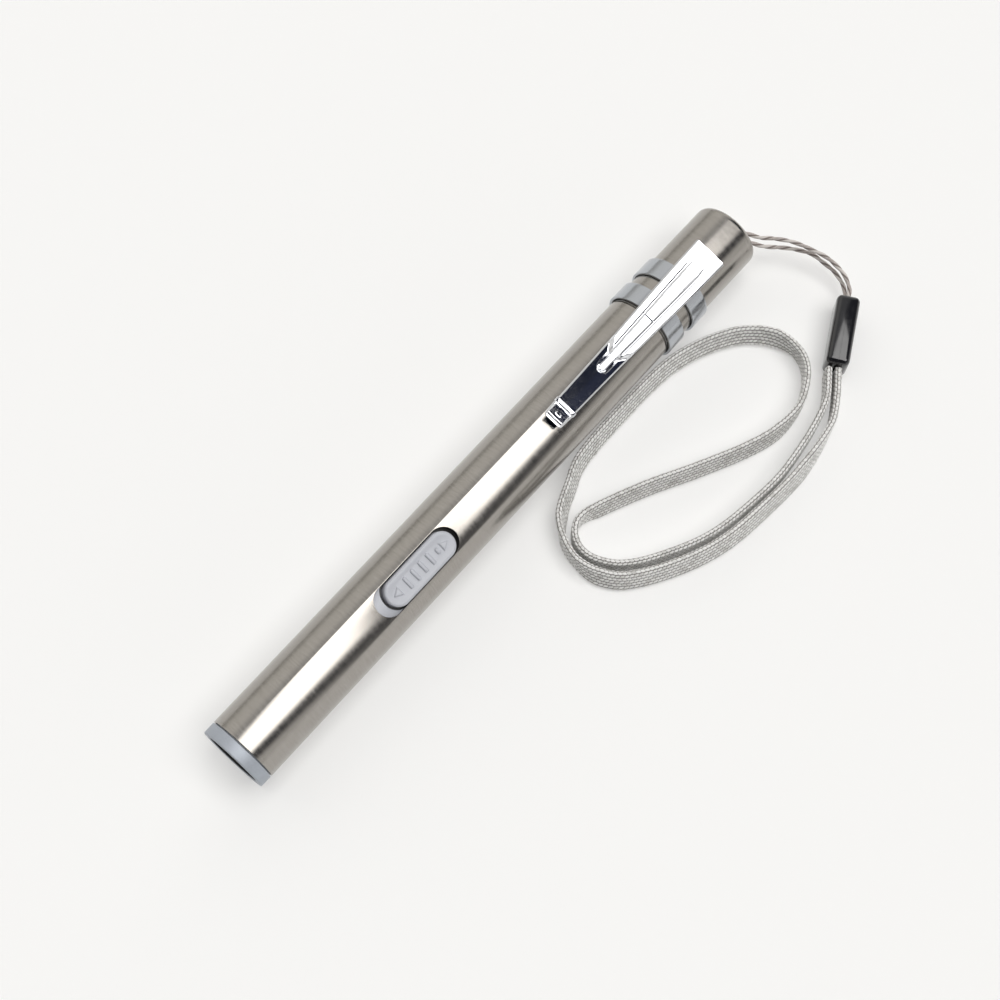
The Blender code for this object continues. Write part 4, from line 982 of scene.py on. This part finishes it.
# %% [markdown]
# ## The clip's bands
#
# The clip holds on by one stamping of thin sheet: two pairs of arms wrapped almost round the cap,
# and a spine that joins them under the clip. Each strip is a grid bent round the pen by giving
# every point its angle, then thickened, with its edges rounded. The arms' free ends are rounded
# in outline too.

# %% The bands and the spine
FRAME_START, FRAME_END = span("clip_frame")
BAND_INNER = TUBE_RADIUS + 0.15 * MM
BAND_THICKNESS = 0.5 * MM
BAND_WIDTH = 4.2 * MM
BAND_STARTS = (FRAME_START, FRAME_START + 7.0 * MM)
BAND_WRAP = 162.0
SPINE_WRAP = 22.0


def wrapped_strip(name, start, end, wrap, rounding):
    """Thin sheet bent round the pen between two places along it, with round-cornered ends."""
    bpy.ops.object.select_all(action="DESELECT")
    bpy.ops.mesh.primitive_grid_add(x_subdivisions=12, y_subdivisions=160, size=1.0)
    piece = bpy.context.object
    piece.name = name
    half_arc = math.radians(wrap) * BAND_INNER
    for vert in piece.data.vertices:
        x, arc = vert.co.x * (end - start), 2 * vert.co.y * half_arc
        over = max(0.0, abs(x) - (end - start) / 2 + rounding)
        limit = half_arc - rounding + math.sqrt(max(0.0, rounding ** 2 - over ** 2))
        turn = arc * limit / half_arc / BAND_INNER
        vert.co = ((start + end) / 2 + x, BAND_INNER * math.sin(turn), BAND_INNER * math.cos(turn))
    apply_step(piece, "SOLIDIFY", thickness=BAND_THICKNESS, offset=1.0, use_even_offset=True)
    apply_step(piece, "BEVEL", width=0.1 * MM, segments=2, limit_method="ANGLE", angle_limit=math.radians(50))
    return piece


strips = [wrapped_strip("band", start, start + BAND_WIDTH, BAND_WRAP, 0.8 * MM) for start in BAND_STARTS]
strips.append(wrapped_strip("spine", FRAME_START + 0.5 * MM, FRAME_END, SPINE_WRAP, 0.5 * MM))
bpy.ops.object.select_all(action="DESELECT")
for strip in strips:
    strip.select_set(True)
bpy.context.view_layer.objects.active = strips[0]
bpy.ops.object.join()
bands = bpy.context.object
bands.name = "clip_bands"
settle(bands, satin, "satin_bands", "cap", ["clip_frame"], CLIP_TURN)
# %% [markdown]
# ## The clip
#
# The clip is pressed from sheet like an old pen nib: broad and square at the tail, narrow towards
# its tip, with a rib down the middle that fades in where the narrow part ends, and a shallow
# groove along each side of it. In front of the rib the sheet rises a little towards the tip,
# which is why it mirrors the dark room while the rest mirrors the soft box. The tip is a small
# block with a raised frame, behind a cross bar.
#
# A grid is laid over the whole outline, and every point is given its height by adding up those
# features one by one. That is easier to steer than pulling single points, and the sheet is given
# its thickness afterwards.

# %% The nib's outline
ARM_START, ARM_END = span("clip_arm")
ARM_TOP = TUBE_RADIUS + 1.8 * MM
SHEET = 0.6 * MM
OUTLINE = [(0.0, 1.75), (0.35, 2.1), (3.3, 2.25), (3.4, 2.42), (4.2, 2.42), (4.3, 2.2), (10.6, 2.33),
           (16.6, 2.48), (21.0, 2.6), (26.6, 2.85), (32.6, 3.12), (39.1, 3.35),
           (46.8, 3.5)]    # mm from the tip, half width


def between(value, points):
    """Reads a value off a line through points."""
    for (x1, y1), (x2, y2) in zip(points, points[1:]):
        if value <= x2:
            return y1 + (y2 - y1) * max(0.0, value - x1) / (x2 - x1)
    return points[-1][1]


def step_up(value, low, high):
    """Rises smoothly from 0 to 1 between low and high."""
    t = min(1.0, max(0.0, (value - low) / (high - low)))
    return t * t * (3 - 2 * t)


# %% The nib's relief, all in mm from the tip and from the middle line
RISE = math.tan(math.radians(6.0))
TIP_LEVEL = 0.62
RIB = [(13.9, 0.0), (14.1, 0.4), (14.7, 0.62), (18.4, 0.7), (28.3, 0.98), (41.0, 1.3), (43.1, 1.35)]


def nib_height(along, across):
    side = abs(across)
    crease = 17.6 + 1.5 * side
    ahead = max(0.0, crease - along)
    height = -0.70 * step_up(ahead, 0.0, 1.8) + RISE * max(0.0, ahead - 1.2)
    height += 0.22 * step_up(along, 40.0, 44.0)
    rib = between(along, RIB) if along > 13.9 else 0.0
    if rib:
        fade = 1 - step_up(along, 41.0, 43.4)
        inside = step_up(rib - side, -0.02, 0.16)
        height += (0.26 - height) * inside
        groove = max(0.0, 1 - abs(side - rib - 0.34) / 0.36)
        height -= 0.13 * groove * fade
        if side < rib + 0.3:
            height -= 0.1 * max(0.0, 1 - abs(along - 28.3) / 0.26)
    if along < 3.4:
        framed = min(along - 0.4, 3.05 - along, 1.82 - side)
        inner = step_up(framed, 0.0, 0.16)
        height = TIP_LEVEL * (1 - inner) + (height - 0.05) * inner
        height += 0.16 * step_up(0.26 - abs(along - 1.8), 0.0, 0.1) * step_up(0.62 - side, 0.0, 0.1)
    if 3.3 <= along <= 4.4:
        height = max(height, TIP_LEVEL + 0.28 * step_up(0.5 - abs(along - 3.85), 0.0, 0.12))
    edge = between(along, OUTLINE) - side
    return height - 0.34 * (1 - step_up(edge, 0.0, 0.42)) ** 2


# %% The nib
NIB_COLUMNS = 360
NIB_ROWS = 64
bpy.ops.object.select_all(action="DESELECT")
bpy.ops.mesh.primitive_grid_add(x_subdivisions=NIB_COLUMNS, y_subdivisions=NIB_ROWS, size=1.0)
nib = bpy.context.object
nib.name = "clip_nib"
for vert in nib.data.vertices:
    along = (vert.co.x + 0.5) * (ARM_END - ARM_START) / MM
    across = 2 * vert.co.y * between(along, OUTLINE)
    vert.co = (ARM_START + along * MM, across * MM, ARM_TOP + nib_height(along, across) * MM)
apply_step(nib, "SOLIDIFY", thickness=SHEET, offset=-1.0)
settle(nib, chrome, "clip_chrome", "clip", ["clip_arm"], CLIP_TURN, smooth=50.0)

# %% [markdown]
# Under the tip a curled foot rests near the tube and slides over the pocket's edge. At the tail
# the sheet folds down to the bands in a short block.

# %% The foot and the fold
foot_profile = [(1.9, -1.0), (0.9, -1.15), (0.1, -1.6), (-0.25, -1.95), (-0.2, -2.25), (0.3, -2.3),
                (0.9, -2.0), (1.9, -1.7)]
bpy.ops.object.select_all(action="DESELECT")
foot_mesh = bpy.data.meshes.new("clip_foot")
foot_mesh.from_pydata([(ARM_START + x * MM, -1.4 * MM, ARM_TOP + 0.55 * MM + z * MM)
                        for x, z in foot_profile], [],
                      [tuple(range(len(foot_profile)))])
foot = bpy.data.objects.new("clip_foot", foot_mesh)
bpy.context.scene.collection.objects.link(foot)
editing(foot)
bpy.ops.mesh.extrude_region_move(TRANSFORM_OT_translate={"value": (0.0, 2.8 * MM, 0.0)})
bpy.ops.mesh.select_all(action="SELECT")
bpy.ops.mesh.normals_make_consistent(inside=False)
bpy.ops.mesh.bevel(offset=0.09 * MM, segments=3, affect="EDGES")
done_editing()
settle(foot, chrome, "clip_chrome", "clip", turn=CLIP_TURN, smooth=40.0)
FOLD_LENGTH = 2.4 * MM
fold_bottom = BAND_INNER + BAND_THICKNESS + 0.1 * MM
fold = bar("clip_fold", (FOLD_LENGTH, 5.2 * MM, ARM_TOP - 0.3 * MM - fold_bottom),
           (ARM_END - 0.15 * MM - FOLD_LENGTH / 2, 0.0, (ARM_TOP - 0.3 * MM + fold_bottom) / 2), 0.2 * MM, 3)
settle(fold, chrome, "clip_chrome", "clip", turn=CLIP_TURN)

# %% [markdown]
# ## Under the cap
#
# Pulled off, the cap shows a white collar with a charging plug in it: a folded steel shell with
# two square windows on each face, a white tongue, and four gold contacts.

# %% The collar and the plug
COLLAR_START, COLLAR_END = span("rear_collar")
PLUG_START, PLUG_END = span("usb_shell")
TONGUE_START, TONGUE_END = span("usb_tongue")
PLUG_WIDTH, PLUG_HEIGHT, PLUG_SHEET = 12.0 * MM, 4.5 * MM, 0.35 * MM
collar = lathe("plug_collar", soften([
    (COLLAR_START, 0.5 * MM), (COLLAR_START, BORE_RADIUS - 0.15 * MM), (COLLAR_END, BORE_RADIUS - 0.15 * MM),
    (COLLAR_END, 0.5 * MM)], 0.3 * MM, closed=False), 128, closed=False)
cut(collar, bar("pocket", (4.3 * MM, PLUG_WIDTH + 0.3 * MM, PLUG_HEIGHT + 0.3 * MM),
                (COLLAR_END, 0.0, 0.0)))
settle(collar, white_plastic, "white_plastic", "pen_body", ["rear_collar"], BUTTON_TURN)
plug_middle = (PLUG_START + PLUG_END) / 2
plug = bar("charging_plug", (PLUG_END - PLUG_START, PLUG_WIDTH, PLUG_HEIGHT), (plug_middle, 0.0, 0.0),
           0.3 * MM, 3)
cut(plug, bar("hollow", (PLUG_END - PLUG_START, PLUG_WIDTH - 2 * PLUG_SHEET, PLUG_HEIGHT - 2 * PLUG_SHEET),
              (plug_middle + 1.0 * MM, 0.0, 0.0), 0.1 * MM, 2))
for side in (-1, 1):
    cut(plug,
        bar("window", (2.2 * MM, 2.4 * MM, 2 * PLUG_HEIGHT), (PLUG_END - 6.2 * MM, side * 2.6 * MM, 0.0)))
settle(plug, nickel, "satin_bands", "pen_body", ["usb_shell"], BUTTON_TURN)
TONGUE_TOP = PLUG_HEIGHT / 2 - PLUG_SHEET - 0.15 * MM
TONGUE_THICKNESS = 1.8 * MM
tongue = bar("plug_tongue",
             (TONGUE_END - TONGUE_START, PLUG_WIDTH - 2 * PLUG_SHEET - 0.3 * MM, TONGUE_THICKNESS),
             ((TONGUE_START + TONGUE_END) / 2, 0.0, TONGUE_TOP - TONGUE_THICKNESS / 2), 0.2 * MM, 3)
settle(tongue, white_plastic, "white_plastic", "pen_body", ["usb_tongue"], BUTTON_TURN)
CONTACT_START, CONTACT_END = span("usb_contact_1")
CONTACT_Z = TONGUE_TOP - TONGUE_THICKNESS - 0.15 * MM - 0.1 * MM
for i in range(4):
    contact = bar(f"plug_contact_{i + 1}", (CONTACT_END - CONTACT_START, 1.0 * MM, 0.2 * MM),
                  ((CONTACT_START + CONTACT_END) / 2, (i - 1.5) * 2.2 * MM, CONTACT_Z), 0.06 * MM, 2)
    settle(contact, gold, "contact_gold", "pen_body", [f"usb_contact_{i + 1}"], BUTTON_TURN)
# %% [markdown]
# ## The last step
#
# The visual model has to stay in the CAD model's box, so both boxes are kept side by side.

# %% Sizes kept, and the finish
with open("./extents.json", "w") as kept:
    json.dump({"cad": [list(corner) for corner in cad_box],
               "visual": [list(corner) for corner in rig.bounds()]}, kept)
print("pieces:", len(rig.pieces()))
